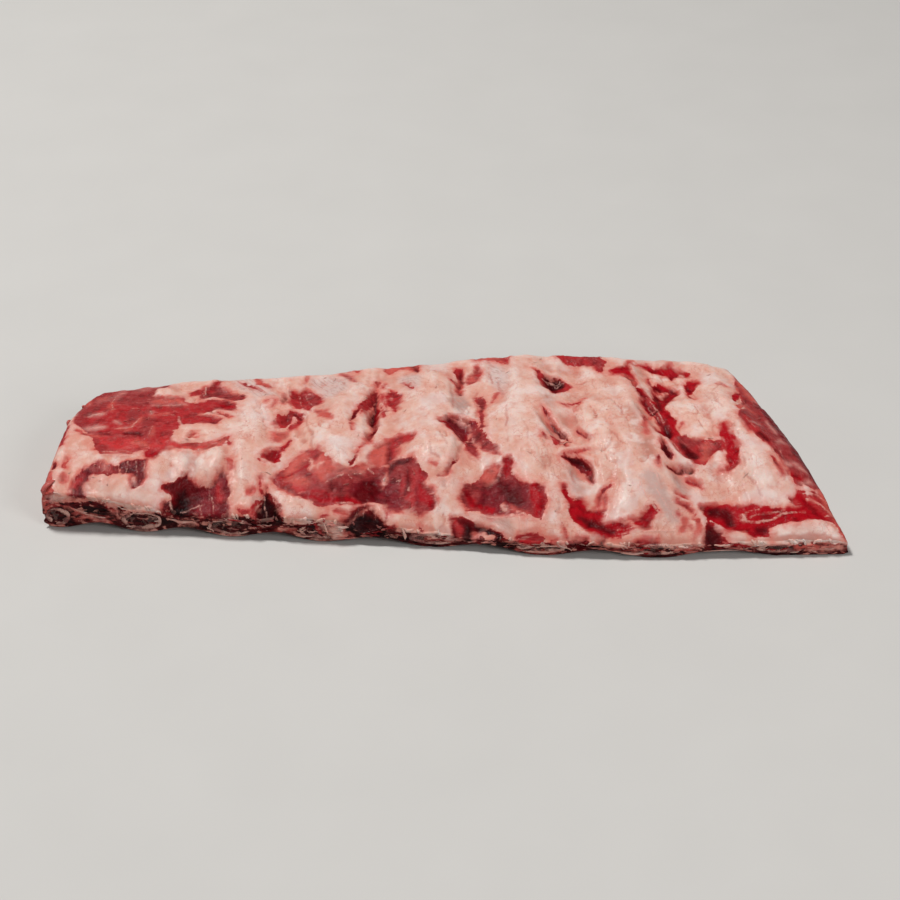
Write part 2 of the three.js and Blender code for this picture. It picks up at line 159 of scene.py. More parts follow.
PAINT = [
    # Left end: a dull sheet of muscle under thin skin, and what runs over it.
    ("sheet", [(-232, 26), (-229, 0), (-222, -3), (-221, -18), (-215, -25), (-207, -30), (-205, -36),
               (-202, -42), (-197, -47), (-184, -46), (-180, -43), (-173, -42), (-171, -48), (-167, -50),
               (-164, -48), (-163, -43), (-158, -40), (-160, -27), (-156, -19), (-151, -16), (-136, -14),
               (-135, -9), (-142, -6), (-150, -6), (-146, -2), (-140, -3), (-143, 0), (-138, 2),
               (-129, 1), (-128, 9), (-134, 12), (-150, 10), (-155, 6), (-159, 7), (-161, 13),
               (-170, 11), (-180, 13), (-180, 21), (-172, 25), (-173, 34), (-180, 46), (-230, 46)]),
    ("red", [(-205, 5), (-190, 2), (-180, 6), (-160, 5), (-150, 9), (-134, 10), (-129, 5), (-141, 0),
             (-150, -7), (-136, -9), (-150, -16), (-157, -20), (-161, -30), (-160, -40), (-166, -47),
             (-172, -42), (-182, -33), (-190, -28), (-204, -27), (-203, -12)]),
    ("red", [(-212, -14, 3), (-206, -3, 2.5), (-203, -17, 3)]),
    ("vivid", [(-204, -32), (-190, -30), (-180, -33), (-174, -36), (-162, -30), (-159, -36),
               (-163, -41), (-172, -40), (-180, -43), (-190, -43), (-200, -41)]),
    ("bright", [(-171, -44, 2.5), (-167, -47, 2.5)]),
    ("deep", [(-187, -27, 1.5), (-179, -29, 2.2)]),
    ("sheet", [(-196, 20, 4), (-195, 8, 3)]),
    ("sheet", [(-188, -5, 4), (-186, -14, 3.5)]),
    ("sheet", [(-177, -13, 5), (-175, -27, 4)]),
    ("light", [(-178, 9, 2), (-164, 9, 2), (-158, 4, 1.2)]),
    ("fascia", [(-179, 5, 0.1), (-167, 4.6, 0.2), (-159, 5.4, 0.1)]),
    ("light", [(-176, -8, 1), (-166, -5, 1)]),
    ("fascia", [(-212, -9.5, 0.8), (-206, -7, 1.4)]),
    ("fascia", [(-213, -24, 1), (-206, -22, 2.6), (-202, -21, 1.2)]),
    ("haze", [(-200, 22, 2), (-202, 12, 2.5), (-210, 8, 2)]),
    ("haze", [(-190, 24, 4), (-180, 27, 4)]),
    ("light", [(-203, 6, 0.8), (-203, 0, 0.8), (-201, -4, 0.8)]),
    ("fascia", [(-197, -15, 0.5), (-192, -18, 0.3)]),
    ("light", [(-192, -22, 0.9), (-187, -24, 1.1)]),
    ("light", [(-186, -21, 0.8), (-183, -15, 0.9), (-182, -11, 1.3)]),
    ("fascia", [(-178, -3, 0.5), (-177, -5, 0.7)]),
    ("light", [(-179, -36, 2.2), (-174, -38, 2.2)]),
    ("light", [(-172, -21, 0.8), (-173, -29, 0.8)]),
    ("light", [(-216, 4, 1), (-219, 12, 1)]),
    ("light", [(-211, 10, 0.8), (-207, 10, 0.8)]),
    ("red", [(-155, 25), (-150, 27), (-151, 18), (-154, 17), (-157, 16), (-158, 20)]),
    ("light", [(-217, -28, 1), (-209, -30, 1.6), (-202, -32, 1)]),
    # Below it, at the left near corner.
    ("pink", [(-218, -16, 3), (-214, -30, 3)]),
    ("pink", [(-208, -38, 2.5), (-196, -48, 2)]),
    ("ridge", [(-214, -44, 3), (-200, -50, 2)]),
    ("ridge", [(-190, -74, 3), (-170, -74, 4)]),
    ("pink", [(-221, -41, 3), (-219, -48, 2)]),
    ("deep", [(-222, -56, 1.2), (-222.5, -62, 1.7)]),
    ("light", [(-215, -52, 0.9), (-215, -61, 1.1)]),
    ("red", [(-225, -22, 2.5), (-223, -38, 1.4)]),
    ("light", [(-223, -66, 2.5), (-220, -79, 3)]),
    ("light", [(-213, -68, 1.5), (-214, -71, 1)]),
    ("light", [(-196, -45.4, 0.7), (-181, -44.6, 0.8)]),
    ("dusk", [(-205, -60), (-201, -56), (-195, -54), (-188, -56), (-183, -52), (-175, -49), (-170, -50),
              (-169, -58), (-168, -62), (-170, -68), (-175, -71), (-178, -67), (-178, -62), (-183, -62),
              (-188, -65), (-192, -67), (-197, -63), (-201, -70), (-199, -82), (-208, -82), (-208, -69),
              (-205, -64)]),
    ("red", [(-204, -64, 1.5), (-206, -74, 1.5)]),
    ("sheet", [(-203, -58), (-196, -55), (-187, -57), (-186, -62), (-191, -66), (-197, -62)]),
    ("fat", [(-175.5, -65, 1), (-174, -68, 0.9)]),
    ("fascia", [(-193.5, -55, 0.2), (-192.5, -60, 0.1)]),
    ("fat", [(-187, -53, 1.4), (-185.5, -60, 0.4)]),
    ("lobe", [(-198, -66, 2), (-188, -70, 4), (-180, -70, 4)]),
    ("grey", [(-200, -69, 1.5), (-198, -80, 1.5)]),
    # Second and third rib.
    ("lobe", [(-158, -19), (-150, -16), (-141, -15), (-136, -20), (-137, -29), (-146, -33), (-158, -33),
              (-160, -26)]),
    ("light", [(-150, -30, 0.9), (-148, -25, 0.4)]),
    ("light", [(-150, -29, 0.7), (-146, -28.5, 0.3)]),
    ("bright", [(-137, 6.5, 2.6), (-132, 6, 1.6)]),
    ("deep", [(-140, 5, 0.6), (-137, 5, 0.9)]),
    ("fascia", [(-139, 3, 0.9), (-137, 2, 0.5)]),
    ("light", [(-137, -2, 1.2), (-131, -6, 1.4)]),
    ("sheet", [(-152, 29), (-144, 31), (-138, 28), (-130, 22), (-125, 15), (-130, 12.5), (-138, 14),
               (-151, 13)]),
    ("red", [(-143, 35, 0.8), (-145, 30, 2), (-150, 22, 1)]),
    ("silver", [(-138, 38), (-126, 41), (-112, 28), (-107, 20), (-118, 16), (-126, 24), (-134, 30)]),
    ("sheet", [(-132, 35, 0.6), (-124, 30, 1.2), (-117, 23, 0.7)]),
    ("light", [(-124, 41, 1.2), (-119, 35, 2.2), (-112, 28, 1.6)]),
    ("pink", [(-103, 44, 1.5), (-102, 39, 1)]),
    ("light", [(-92, 45, 1), (-92, 39, 0.8)]),
    ("pink", [(-94, 35, 1.5), (-90, 31, 1)]),
    ("silver", [(-90, 42), (-78, 46), (-66, 39), (-66, 28), (-73, 18), (-80, 22), (-86, 30)]),
    ("sheet", [(-71, 47, 0.8), (-66, 43, 1.8), (-63, 38, 0.8)]),
    ("light", [(-77, 53, 1.8), (-68, 51, 1.5)]),
    ("light", [(-65, 55, 1.8), (-62, 50, 1)]),
    ("red", [(-99.5, 29), (-95, 28), (-91, 31), (-86, 29), (-80, 22), (-77, 16), (-80, 13), (-83, 13),
             (-85, 5), (-89, 9), (-92, 7), (-97, 11), (-101, 13), (-100, 20)]),
    ("sheet", [(-88, 26, 3), (-84, 14, 3)]),
    ("deep", [(-103, 22, 0.5), (-102, 16, 1), (-101, 11, 0.7)]),
    ("black", [(-102.2, 17.5, 0.6), (-102, 15, 0.7)]),
    ("light", [(-111, 12, 0.5), (-109, 15.5, 0.7), (-106, 15, 0.7), (-105.5, 10, 0.6), (-107, 6, 0.4)]),
    ("red", [(-103, 0), (-98, 3), (-93, 4), (-88, 3), (-87.5, -6), (-90, -10), (-93, -16), (-97, -13),
             (-102, -13), (-105, -9)]),
    ("deep", [(-92, 2, 0.9), (-89, -3, 0.8)]),
    ("fat", [(-93, -1, 1.3), (-93.6, -7, 1), (-96, -12, 0.6)]),
    ("light", [(-102, -19), (-95, -16), (-94, -20), (-97, -25), (-103, -26), (-103, -22)]),
    ("bright", [(-92, -26, 1), (-94, -30, 1), (-97, -34, 1.5)]),
    ("red", [(-106, -38), (-102, -33), (-98, -33), (-95, -36), (-96, -42), (-98, -46), (-101, -43),
             (-107, -43)]),
    ("bright", [(-98.5, -35, 1.8), (-98.5, -42, 1.8)]),
    ("light", [(-107, -45, 0.8), (-104, -46, 0.5)]),
    ("light", [(-80, 4, 1), (-75, -1, 2.5), (-72, -6, 1.5)]),
    ("ridge", [(-75, -15, 3), (-74, -28, 3)]),
    ("light", [(-160, -34), (-150, -35), (-140, -33), (-133, -30), (-129, -27), (-126, -28), (-129, -33),
               (-131, -37), (-140, -40), (-150, -40), (-160, -39)]),
    ("vivid", [(-162, -36, 2), (-150, -37, 1.2), (-140, -37, 0.8)]),
    ("red", [(-128, -30, 0.8), (-126, -34, 0.7)]),
    ("lobe", [(-142, -40), (-132, -39), (-126, -43), (-125, -52), (-130, -59), (-136, -60), (-141, -55),
              (-144, -47)]),
    ("light", [(-124, -46, 1.3), (-122, -53, 0.9)]),
    ("grey", [(-150, -43), (-144, -44), (-141, -52), (-142, -60), (-149, -53)]),
    ("deep", [(-158, -65), (-153, -63), (-149, -58), (-146, -55.5), (-143.5, -59), (-140, -62.5),
              (-133, -63), (-129, -58), (-126, -53), (-123.5, -57), (-122, -62), (-120, -70),
              (-119, -78), (-122, -86), (-158, -86), (-157, -75), (-152, -71), (-158, -68)]),
    ("wine", [(-139, -64), (-132, -64.5), (-126, -57), (-122, -64), (-120, -74), (-121, -86), (-138, -86)]),
    ("black", [(-150, -68), (-146, -65), (-143, -70), (-143, -86), (-152, -86), (-153, -78), (-149, -74)]),
    ("red", [(-128, -63, 1.2), (-124, -72, 2)]),
    ("ridge", [(-115, -50, 4), (-114, -55, 4)]),
    ("red", [(-104, -56, 0.8), (-103, -64, 0.9)]),
    ("light", [(-109, -66, 1.5), (-108, -64, 1)]),
    ("red", [(-115, -76.5, 0.6), (-108, -77, 0.7)]),
    ("black", [(-100, -61), (-97, -66), (-92, -74), (-86, -84), (-107, -84), (-105, -74), (-102, -66)]),
    ("red", [(-105, -70, 1), (-106, -80, 2)]),
    ("ridge", [(-130, 8, 6), (-119, -12, 6), (-122, -30, 5)]),
    # Fourth rib and the big window of lean near the edge.
    ("light", [(-81, -36), (-75, -34), (-62, -50), (-50, -43), (-44, -41), (-50, -48), (-68, -60),
               (-90, -50), (-92, -44)]),
    ("sheet", [(-75, -34), (-80, -35), (-86, -39), (-92, -44), (-94, -50), (-99, -56), (-96, -60),
               (-90, -64), (-80, -69), (-72, -74), (-66, -73), (-60, -71), (-50, -69), (-43, -67),
               (-35, -68), (-33, -71), (-31, -75), (-28, -72), (-20, -71), (-12, -72), (-5, -68),
               (-4, -64), (-6, -58), (-11, -56), (-10, -50), (-14, -46), (-17, -41), (-20, -37),
               (-27, -36), (-33, -37), (-34, -40), (-38, -40), (-44, -41), (-48, -46), (-56, -51),
               (-64, -55), (-70, -58), (-74, -53), (-78, -49), (-74, -42), (-73, -38)]),
    ("light", [(-82, -39, 3), (-88, -46, 4), (-88, -55, 4), (-78, -58, 3)]),
    ("vivid", [(-80, -63, 2), (-90, -58, 1.5)]),
    ("bright", [(-97, -57, 0.6), (-90, -54, 1), (-80, -47, 0.8)]),
    ("red", [(-78, -36, 1), (-76, -42, 1.1)]),
    ("red", [(-74, -52, 0.7), (-72, -59, 0.9)]),
    ("fat", [(-78, -42, 0.5), (-76, -49, 2), (-72, -46, 2)]),
    ("bright", [(-81, -67, 1), (-70, -69, 2), (-60, -69, 1.8), (-46, -67, 1.2)]),
    ("bright", [(-74, -64, 1.2), (-64, -66, 1)]),
    ("haze", [(-66, -56, 1.2), (-58, -51, 1.8), (-50, -47, 1.6)]),
    ("dusk", [(-64, -60, 2), (-58, -61, 2)]),
    ("wine", [(-50, -52), (-40, -48), (-24, -48), (-14, -52), (-12, -60), (-14, -68), (-30, -70),
              (-44, -67), (-54, -64), (-52, -57)]),
    ("deep", [(-47, -52), (-41, -50), (-37, -55), (-38, -64), (-44, -67), (-51, -65), (-49, -57)]),
    ("deep", [(-33, -39), (-26, -36.5), (-20, -38), (-21, -42), (-28, -41), (-32, -45)]),
    ("red", [(-22, -44), (-16, -45), (-14, -52), (-16, -58), (-17, -68), (-21, -70), (-24, -60),
             (-25, -50)]),
    ("deep", [(-22, -46, 1), (-20, -53, 1.4), (-22, -60, 1)]),
    ("bright", [(-15, -47, 1.5), (-12, -53, 2), (-13, -62, 2.5), (-8, -65, 2.5)]),
    ("fat", [(-34, -45, 0.7), (-35.5, -50, 1.1), (-36, -54, 0.5)]),
    ("fat", [(-47, -69.5, 0.7), (-43, -68, 1.1), (-37, -68.5, 1.3), (-33, -70, 1.1), (-30, -75, 0.9)]),
    ("red", [(-60, -75.5, 0.8), (-54, -75, 0.8)]),
    ("red", [(-31.5, -73, 0.9), (-31, -76, 0.8)]),
    ("red", [(-66, -80, 1), (-64, -77, 1.2)]),
    ("pink", [(-68, -74, 2), (-66, -70, 2)]),
    ("deep", [(-55, -79, 1.5), (-49, -73, 2), (-43, -69, 1.4), (-39, -72, 1.2)]),
    ("black", [(-55, -80), (-51, -76), (-47, -72.5), (-43, -71), (-38, -72.5), (-34, -75), (-30, -78),
               (-26, -80), (-25, -88), (-57, -88)]),
    ("deep", [(-13, -77, 0.5), (-10, -79, 0.9), (-8, -82, 0.8)]),
    # The orange-red strip over it.
    ("light", [(-38, -18), (-30, -16), (-23, -17), (-20, -20), (-21, -23), (-24, -26), (-28, -26),
               (-29, -33), (-31, -37), (-38, -41), (-46, -40), (-45, -32), (-41, -26), (-38, -22)]),
    ("red", [(-34, -18), (-22, -17), (-20, -21), (-23, -25), (-29, -26), (-30, -32), (-31, -37),
             (-34, -36), (-34, -27)]),
    ("deep", [(-35, -21, 0.3), (-33.5, -27, 0.5), (-33, -33, 1.1), (-33.5, -38, 0.9), (-31.5, -45, 0.6)]),
    ("pink", [(-25, -31, 2.5)]),
    # The long cleft between the fourth and the fifth rib.
    ("red", [(-49, 34), (-47, 27), (-49, 20), (-51, 12), (-53, 5), (-55, 1), (-54, 7), (-58, 7),
             (-55, 12), (-54, 20), (-52, 27)]),
    ("deep", [(-49, 31), (-46.5, 25), (-46, 18), (-44, 10), (-44, 0), (-43.6, -10), (-44.3, -18),
              (-45, -24), (-48.5, -23), (-48.5, -17), (-46, -14), (-47, -8), (-49, -3), (-49.5, 4),
              (-49, 12), (-49.5, 20)]),
    ("bright", [(-46.5, 22, 0.8), (-45.5, 5, 1), (-45, -12, 0.8)]),
    ("black", [(-48, 15, 0.2), (-48, 5, 0.4), (-47, -5, 0.3)]),
    ("red", [(-47, -17, 1.2), (-46.5, -21, 1.2)]),
    ("deep", [(-56, 6, 0.9), (-57.5, 2, 0.9), (-58.3, -3, 0.9), (-59, -8, 0.6)]),
    ("red", [(-47, 30), (-43, 27), (-41, 18), (-39.5, 9), (-41, 2), (-42, 3), (-43, 9), (-45, 16),
             (-46, 24)]),
    ("fat", [(-46.6, 29, 0.4), (-43.5, 18, 0.5), (-41.5, 10, 0.4)]),
    ("fat", [(-45.2, 21, 0.6), (-42.8, 12, 0.4)]),
    ("red", [(-43, 28), (-40, 32.5), (-36, 31), (-33.5, 27), (-32.5, 20), (-34, 15), (-32, 10),
             (-34, 11), (-35, 8), (-37, 10), (-39, 14), (-42, 20), (-43.5, 25)]),
    ("fat", [(-39, 24.5, 0.5), (-39, 23.8, 0.4)]),
    ("light", [(-48, 42, 0.8), (-49.5, 35, 0.7)]),
    ("light", [(-45, 41, 0.6), (-46, 35, 0.5)]),
    ("light", [(-57.5, -11, 0.5), (-57, -17, 0.7)]),
    ("deep", [(-53, -38, 0.3), (-54.3, -41, 0.9), (-55.5, -44, 0.3)]),
    ("light", [(-47, -25, 0.3), (-51, -31, 0.3), (-53, -37, 0.3)]),
    ("light", [(-48, 62), (-30, 67), (-25, 69), (-25, 58), (-27, 57), (-31, 59), (-36, 58), (-40, 56),
               (-44, 53), (-47, 55)]),
    ("deep", [(-29, 62, 0.9), (-25.5, 57, 1.1), (-24.4, 54, 0.5)]),
    ("silver", [(-36, 50), (-28, 53), (-24, 44), (-24, 32), (-28, 31), (-33, 40)]),
    ("red", [(-32.5, 42, 0.4), (-30, 38, 0.9), (-26.5, 32, 0.5)]),
    # Fifth rib: the red fork at the back, the torn pocket in the middle and the round lobe in front.
    ("red", [(-3, 60), (1, 60), (3, 52), (3, 48), (0.5, 46), (0.5, 40), (1.8, 34), (2.8, 29), (1, 29),
             (-0.4, 33), (-1, 40), (-1.5, 44.5), (-6, 49), (-5, 46), (-1, 43), (-1, 50), (-3, 56)]),
    ("red", [(4, 50), (6, 54), (8, 58), (10, 63), (13, 60), (12, 53), (10, 46), (7, 44.5), (4, 46.5)]),
    ("light", [(8, 53, 1.5), (7.5, 49, 1.8)]),
    ("deep", [(1, 57, 0.6), (1.5, 50, 1.1), (2.5, 48, 0.7)]),
    ("deep", [(-3.5, 47, 0.4), (0, 45, 0.9), (0.3, 40, 0.7)]),
    ("deep", [(1.5, 33, 0.5), (2, 29.5, 0.7)]),
    ("grey", [(-4, 30), (3, 31), (9, 20), (8, 8), (2, 4), (-1, 10), (-4, 20)]),
    ("fat", [(8, 17, 0.8), (5.5, 9, 0.8)]),
    ("fat", [(11, 21, 1.3), (9, 7, 1.2)]),
    ("sheet", [(12, 28), (16, 29), (17.3, 22), (16.8, 10), (17.5, 0), (18.3, -4), (15.5, -4.5),
               (15, 5), (14, 12), (12.8, 20)]),
    ("wine", [(-4, -2), (-2, 3), (3, 5.5), (8, 2), (13, 2), (14.5, -3), (10, -5), (9, -12), (9, -21.5),
              (6, -19), (1, -14), (-2, -11.5), (-5, -8), (-8.5, -5)]),
    ("bright", [(-5, -5.5, 1.5), (-1, -10, 1.6)]),
    ("sheet", [(3, -7, 1.6), (5.2, -15, 1.4)]),
    ("bright", [(7.8, -5, 0.8), (8.4, -19, 0.7)]),
    ("black", [(1, 3.2, 0.7), (4.5, 4, 0.7), (8, 0.5, 0.7)]),
    ("fat", [(-1, 1.5, 0.5), (3, 1, 0.6), (6, 0, 0.5)]),
    ("fat", [(3, 5.5, 0.4), (5, 2, 0.4)]),
    ("fat", [(8, -1, 0.5), (11, -5, 0.7)]),
    ("sheet", [(11, -9), (13.5, -13), (15, -20), (17, -27), (16, -31), (13, -30), (10, -26), (9.3, -20),
               (9, -14)]),
    ("sheet", [(12, -2), (17, -8), (20, -14), (24, -20), (28, -27), (28, -29.5), (24, -28), (18, -23),
               (15, -17), (12, -11), (9, -4)]),
    ("fat", [(11.2, -8.5, 0.4), (13.4, -15, 0.5), (16, -22.5, 0.4)]),
    ("lobe", [(-10, -21), (-2, -19), (5, -23), (5, -33), (2, -41), (-6, -46), (-13, -42), (-15, -32)]),
    ("deep", [(5.2, -35, 0.3), (4, -38, 0.7), (2, -42, 0.9), (1, -46, 1.1), (-1, -48, 0.7),
              (-4, -49.5, 0.3)]),
    ("grey", [(-1, -52, 1.5), (0, -55, 1)]),
    ("light", [(-9, -42, 0.25), (-6, -43, 0.35)]),
    # Sixth rib: silverskin behind, a broad ridge of fat, and lean at the edge.
    ("light", [(7, 75), (14, 80), (29, 82), (29, 70), (27.5, 63.5), (24, 66), (20, 69), (8, 68)]),
    ("red", [(24, 80), (28, 81), (29.5, 68), (28.5, 63.5), (25, 68)]),
    ("silver", [(14, 67), (20, 66), (27, 58), (30, 45), (28, 30), (24, 31), (20, 42), (16, 56)]),
    ("light", [(23, 31, 0.4), (21.5, 22, 0.7)]),
    ("ridge", [(33, 60, 4), (34, 20, 5), (35, -14, 4)]),
    ("light", [(21, -40), (25, -36), (29, -37), (29, -46), (24, -51), (18, -50)]),
    ("sheet", [(10, -50), (14, -50), (19, -47), (25, -48), (29, -46), (30, -40), (30, -33), (35, -33),
               (36, -38), (37, -45), (41, -50), (48, -53), (56, -53), (57.5, -60), (57, -67), (54, -73.5),
               (50, -72), (46, -70), (40, -70), (34, -70), (28, -69), (20, -67), (13, -67), (8, -62),
               (9, -55)]),
    ("light", [(22, -42, 2), (25, -46, 2)]),
    ("wine", [(18, -52), (27, -47), (38, -48), (47, -54), (50, -64), (44, -70), (30, -68), (18, -64)]),
    ("bright", [(33, -34, 1.8), (34, -43, 2.4)]),
    ("bright", [(12, -54, 1.6), (15, -63, 2), (27, -65, 1.6)]),
    ("deep", [(29, -45, 1.5), (32, -52, 2)]),
    ("deep", [(34, -50), (42, -54), (46, -62), (40, -64), (34, -58)]),
    ("bright", [(51, -55, 3.4), (54, -64, 3), (52, -70, 1.8)]),
    ("fat", [(32, -62, 0.8), (33, -65, 0.6), (35, -67, 0.9)]),
    ("light", [(36, -63, 0.8), (40, -67, 1.4), (45, -70, 1.8)]),
    ("fat", [(41, -68, 0.5), (45, -71, 1)]),
    ("deep", [(5, -72), (10, -70.5), (18, -71), (25, -74), (31, -78), (37, -84), (36, -90), (8, -90),
              (6, -80)]),
    ("red", [(8, -74, 1.5), (11, -79, 2)]),
    ("black", [(20, -73.5, 1.6), (26, -76.5, 2.2), (31, -80, 2.4), (36, -85, 2.4)]),
    ("black", [(15, -76, 1.4), (16, -83, 1.8)]),
    ("grey", [(21, -70), (29, -69.5), (36, -72), (41, -79), (40, -84), (36, -81), (29, -74.5)]),
    ("fat", [(18.5, -78.5, 1.3), (23, -79, 1.5), (28, -79.5, 1.1)]),
    ("red", [(41, -82, 1.4), (52, -80.5, 2.2), (56, -83, 1.6)]),
    ("bright", [(45, -83, 1), (62, -84, 1.2)]),
    ("red", [(68.5, -81, 1.2), (67.5, -76, 0.7)]),
    ("deep", [(71, -83, 1.6), (79, -82, 2.2)]),
    ("grey", [(83, -80, 1.5), (87, -76, 2)]),
    ("black", [(87, -82, 1.4), (89, -79, 0.9)]),
    ("red", [(104, -82, 1), (112, -79, 2), (119, -78, 1)]),
    ("pink", [(46, -76, 1), (45, -70, 0.8)]),
    ("pink", [(56, -74, 1), (57, -79, 0.8)]),
    # Between the sixth and the seventh rib: the fibrous pocket, two clefts, the strap and the dark arc.
    ("red", [(56, 78), (62, 80), (75, 84), (84, 86), (84, 78), (87, 72), (87, 62), (84, 60), (80, 68),
             (74, 70), (70, 68), (65, 69), (60, 73)]),
    ("sheet", [(76, 80, 3), (84, 68, 2.5)]),
    ("red", [(44, 57), (48, 57), (51, 53), (64, 52), (66, 50), (68, 46), (65, 43), (61, 38), (59, 33),
             (56, 33), (55, 38), (50, 40), (49, 46), (46, 48), (45, 53)]),
    ("light", [(51, 43, 1.5), (53, 38, 1.5)]),
    ("deep", [(50, 54), (54, 53), (58, 55), (62, 54), (64, 50), (62, 45.5), (57, 46.5), (52, 45.5),
              (50, 49)]),
    ("black", [(52, 52, 0.7), (57, 52.5, 1.3), (61, 50, 1.2), (55, 48, 0.9)]),
    ("deep", [(57, 47, 0.9), (57.5, 40, 0.9), (57.3, 34, 0.7)]),
    ("brown", [(53, 30, 4), (54, 20, 4)]),
    ("red", [(63, 21.5, 0.5), (68, 22, 0.9), (72, 25, 0.9), (75.5, 28.5, 0.4)]),
    ("light", [(74, 25, 0.5), (73, 20, 0.5), (72, 15, 0.3)]),
    ("brown", [(52, 4, 3), (57, -10, 4), (66, 6, 4)]),
    ("deep", [(51, 16, 0.4), (54, 10, 0.9), (57, 4, 1.2), (61, -4, 1.5), (64, -10, 1.7), (66, -13.5, 0.8)]),
    ("black", [(62, -2.5, 0.4), (65.5, -8.5, 0.7), (68.5, -15, 0.4)]),
    ("deep", [(71, -1, 0.4), (74, -5, 0.8), (77, -9, 0.7), (80.5, -13, 0.3)]),
    ("bright", [(51, -12, 0.4), (53, -15, 1), (55, -17.5, 0.4)]),
    ("red", [(56, -14), (61, -12), (63, -18), (62, -23), (59, -22), (58, -18)]),
    ("deep", [(64, -17, 0.5), (65.5, -20, 0.9), (65, -22.5, 0.4)]),
    ("lobe", [(73, 28), (80, 30), (88, 10), (91, -8), (92, -18), (88, -24), (84, -17), (80, -11),
              (74, -2), (71.5, 4), (71, 14)]),
    ("brown", [(65, -35), (70, -33), (76, -37), (80, -45), (80, -52), (72, -56), (66, -50), (64, -42)]),
    ("film", [(70, -38, 2), (73, -42, 3), (75, -50, 2)]),
    ("lobe", [(64, -28, 1), (70, -22.5, 1.7), (78, -18.5, 1.9), (84, -16, 1.4)]),
    ("light", [(66, -28.5, 0.3), (72, -25.5, 0.5), (79, -21.5, 0.4)]),
    ("deep", [(64.5, -31.5, 1), (69, -30.5, 2.2), (74, -31, 2.6), (78, -34.5, 2.6), (81, -39, 2),
              (82.5, -44, 0.9)]),
    ("bright", [(76, -33, 1), (80, -38, 1.2)]),
    ("black", [(68, -30, 0.2), (74, -30, 0.5), (79.5, -35, 0.2)]),
    ("brown", [(54.5, -35, 2.5), (55, -38, 2)]),
    ("ridge", [(61, -47, 2.5), (62.5, -70, 2.5)]),
    ("bright", [(66, -50, 1.4), (67, -55, 2), (71, -59, 1.8)]),
    ("bright", [(72, -57), (76, -55), (79, -59), (80, -62), (85, -60), (90, -61), (90, -68), (95, -69),
                (103, -70), (107, -72), (104, -76), (98, -78), (90, -79), (84, -77), (78, -75),
                (72, -71), (70, -66), (71, -60)]),
    ("deep", [(77, -68, 2), (88, -72, 2.5), (94, -75, 2)]),
    ("red", [(91.5, -46, 1), (88.5, -50, 1.4), (87, -56, 1), (86, -61, 0.9)]),
    ("red", [(89.6, -49, 0.5), (90, -61, 0.7)]),
    ("fat", [(81, -51, 1.5), (82, -57, 2)]),
    # Seventh rib: the two long pockets behind it and the wide torn window beyond.
    ("bright", [(90, 61), (97, 66), (103, 76), (102.4, 62), (106, 56), (107, 44), (104, 43), (103, 50),
                (97, 54), (93, 56)]),
    ("light", [(97, 56, 1.2), (104, 51, 1.4), (105, 45, 1)]),
    ("brown", [(107, 79, 3), (133, 77, 3)]),
    ("bright", [(104, 73), (112, 75), (120, 73), (126, 77), (129, 72), (134, 70), (140, 65), (141, 62),
                (136, 62), (130, 64.5), (128, 61), (124, 66), (117, 68), (110, 71)]),
    ("fat", [(134, 65.5, 0.9), (134.5, 63.5, 0.6)]),
    ("red", [(113.5, 60, 0.5), (114, 54, 0.9), (115.5, 49, 1)]),
    ("bright", [(115, 44), (116, 50), (119, 53), (123, 53.5), (127, 53), (129.5, 48), (130, 42.5),
                (128, 42), (127, 36), (124, 28), (123, 24), (126, 18), (129, 14), (128.5, 6), (131, 2),
                (132, -5), (126, -8), (121, -6), (117, -4), (117, 2), (121, 4), (117, 12), (111, 22),
                (109, 28), (106, 40), (106, 43), (110, 42), (113, 36), (115, 31), (116, 36)]),
    ("deep", [(118, 49, 1.2), (119, 50, 1.6)]),
    ("deep", [(127, 50, 1.3), (128.5, 46, 0.9)]),
    ("deep", [(118, 42, 1), (118.5, 32, 1.6), (120.5, 22, 1.3)]),
    ("fat", [(121, 47, 1), (123.5, 47.5, 1.3)]),
    ("fat", [(116, 46, 0.4), (119, 44, 0.6), (122, 45.5, 0.7)]),
    ("deep", [(107, 41, 0.6), (110, 34, 1.1), (114, 24, 1.4), (119, 14, 1.4), (124, 4, 1.8)]),
    ("red", [(112, 31, 0.3), (118, 18, 0.5), (122, 9, 0.4)]),
    ("black", [(124, 2, 1.2), (125, -3, 1)]),
    ("red", [(132.5, 8, 0.4), (131, 4, 0.6), (130, 1, 0.8)]),
    ("deep", [(121, -9), (123, -10), (124, -16), (128, -22), (127, -26), (122, -23), (120, -20),
              (121, -14)]),
    ("red", [(128, -2), (133, -2), (140, -5), (147, -5), (152, -7), (156, -6), (158, -12), (158, -16),
             (152, -16), (148, -22), (146, -27), (143, -29), (138, -26), (131, -22), (127, -14),
             (126, -7)]),
    ("deep", [(133, -9, 2), (138, -20, 3)]),
    ("sheet", [(131, -5, 2), (138, -9, 3)]),
    ("light", [(147, -11, 2), (145, -22, 2.2)]),
    ("bright", [(154, 9), (157, 9), (160, 0), (163, -9), (165, -18), (164, -26), (160, -31), (154, -31),
                (158, -26), (158.5, -18), (155, -10), (153, -2)]),
    ("lobe", [(154, -15.5), (157, -18), (157, -26), (153, -29.5), (146.5, -29), (149, -22), (151, -17)]),
    ("grey", [(152, -27, 2), (149, -28, 1.5)]),
    ("fat", [(124, -7, 1.1), (125, -13, 1.4), (128, -19, 1.5), (132, -24, 1.5), (138, -27, 1.3),
             (143, -29, 0.8)]),
    ("lobe", [(127, 34), (140, 36), (152, 30), (156, 12), (153, 3), (140, -1.5), (133, 0), (133, 10),
              (129, 20), (125, 28)]),
    ("light", [(111, 12, 0.5), (112, 2, 0.7), (112, -8, 0.4)]),
    ("light", [(115, 16, 0.4), (113, 8, 0.4)]),
    ("brown", [(106, 16, 5), (112, -5, 6), (114, -30, 5)]),
    ("deep", [(119.5, -26, 0.6), (119, -37, 0.4)]),
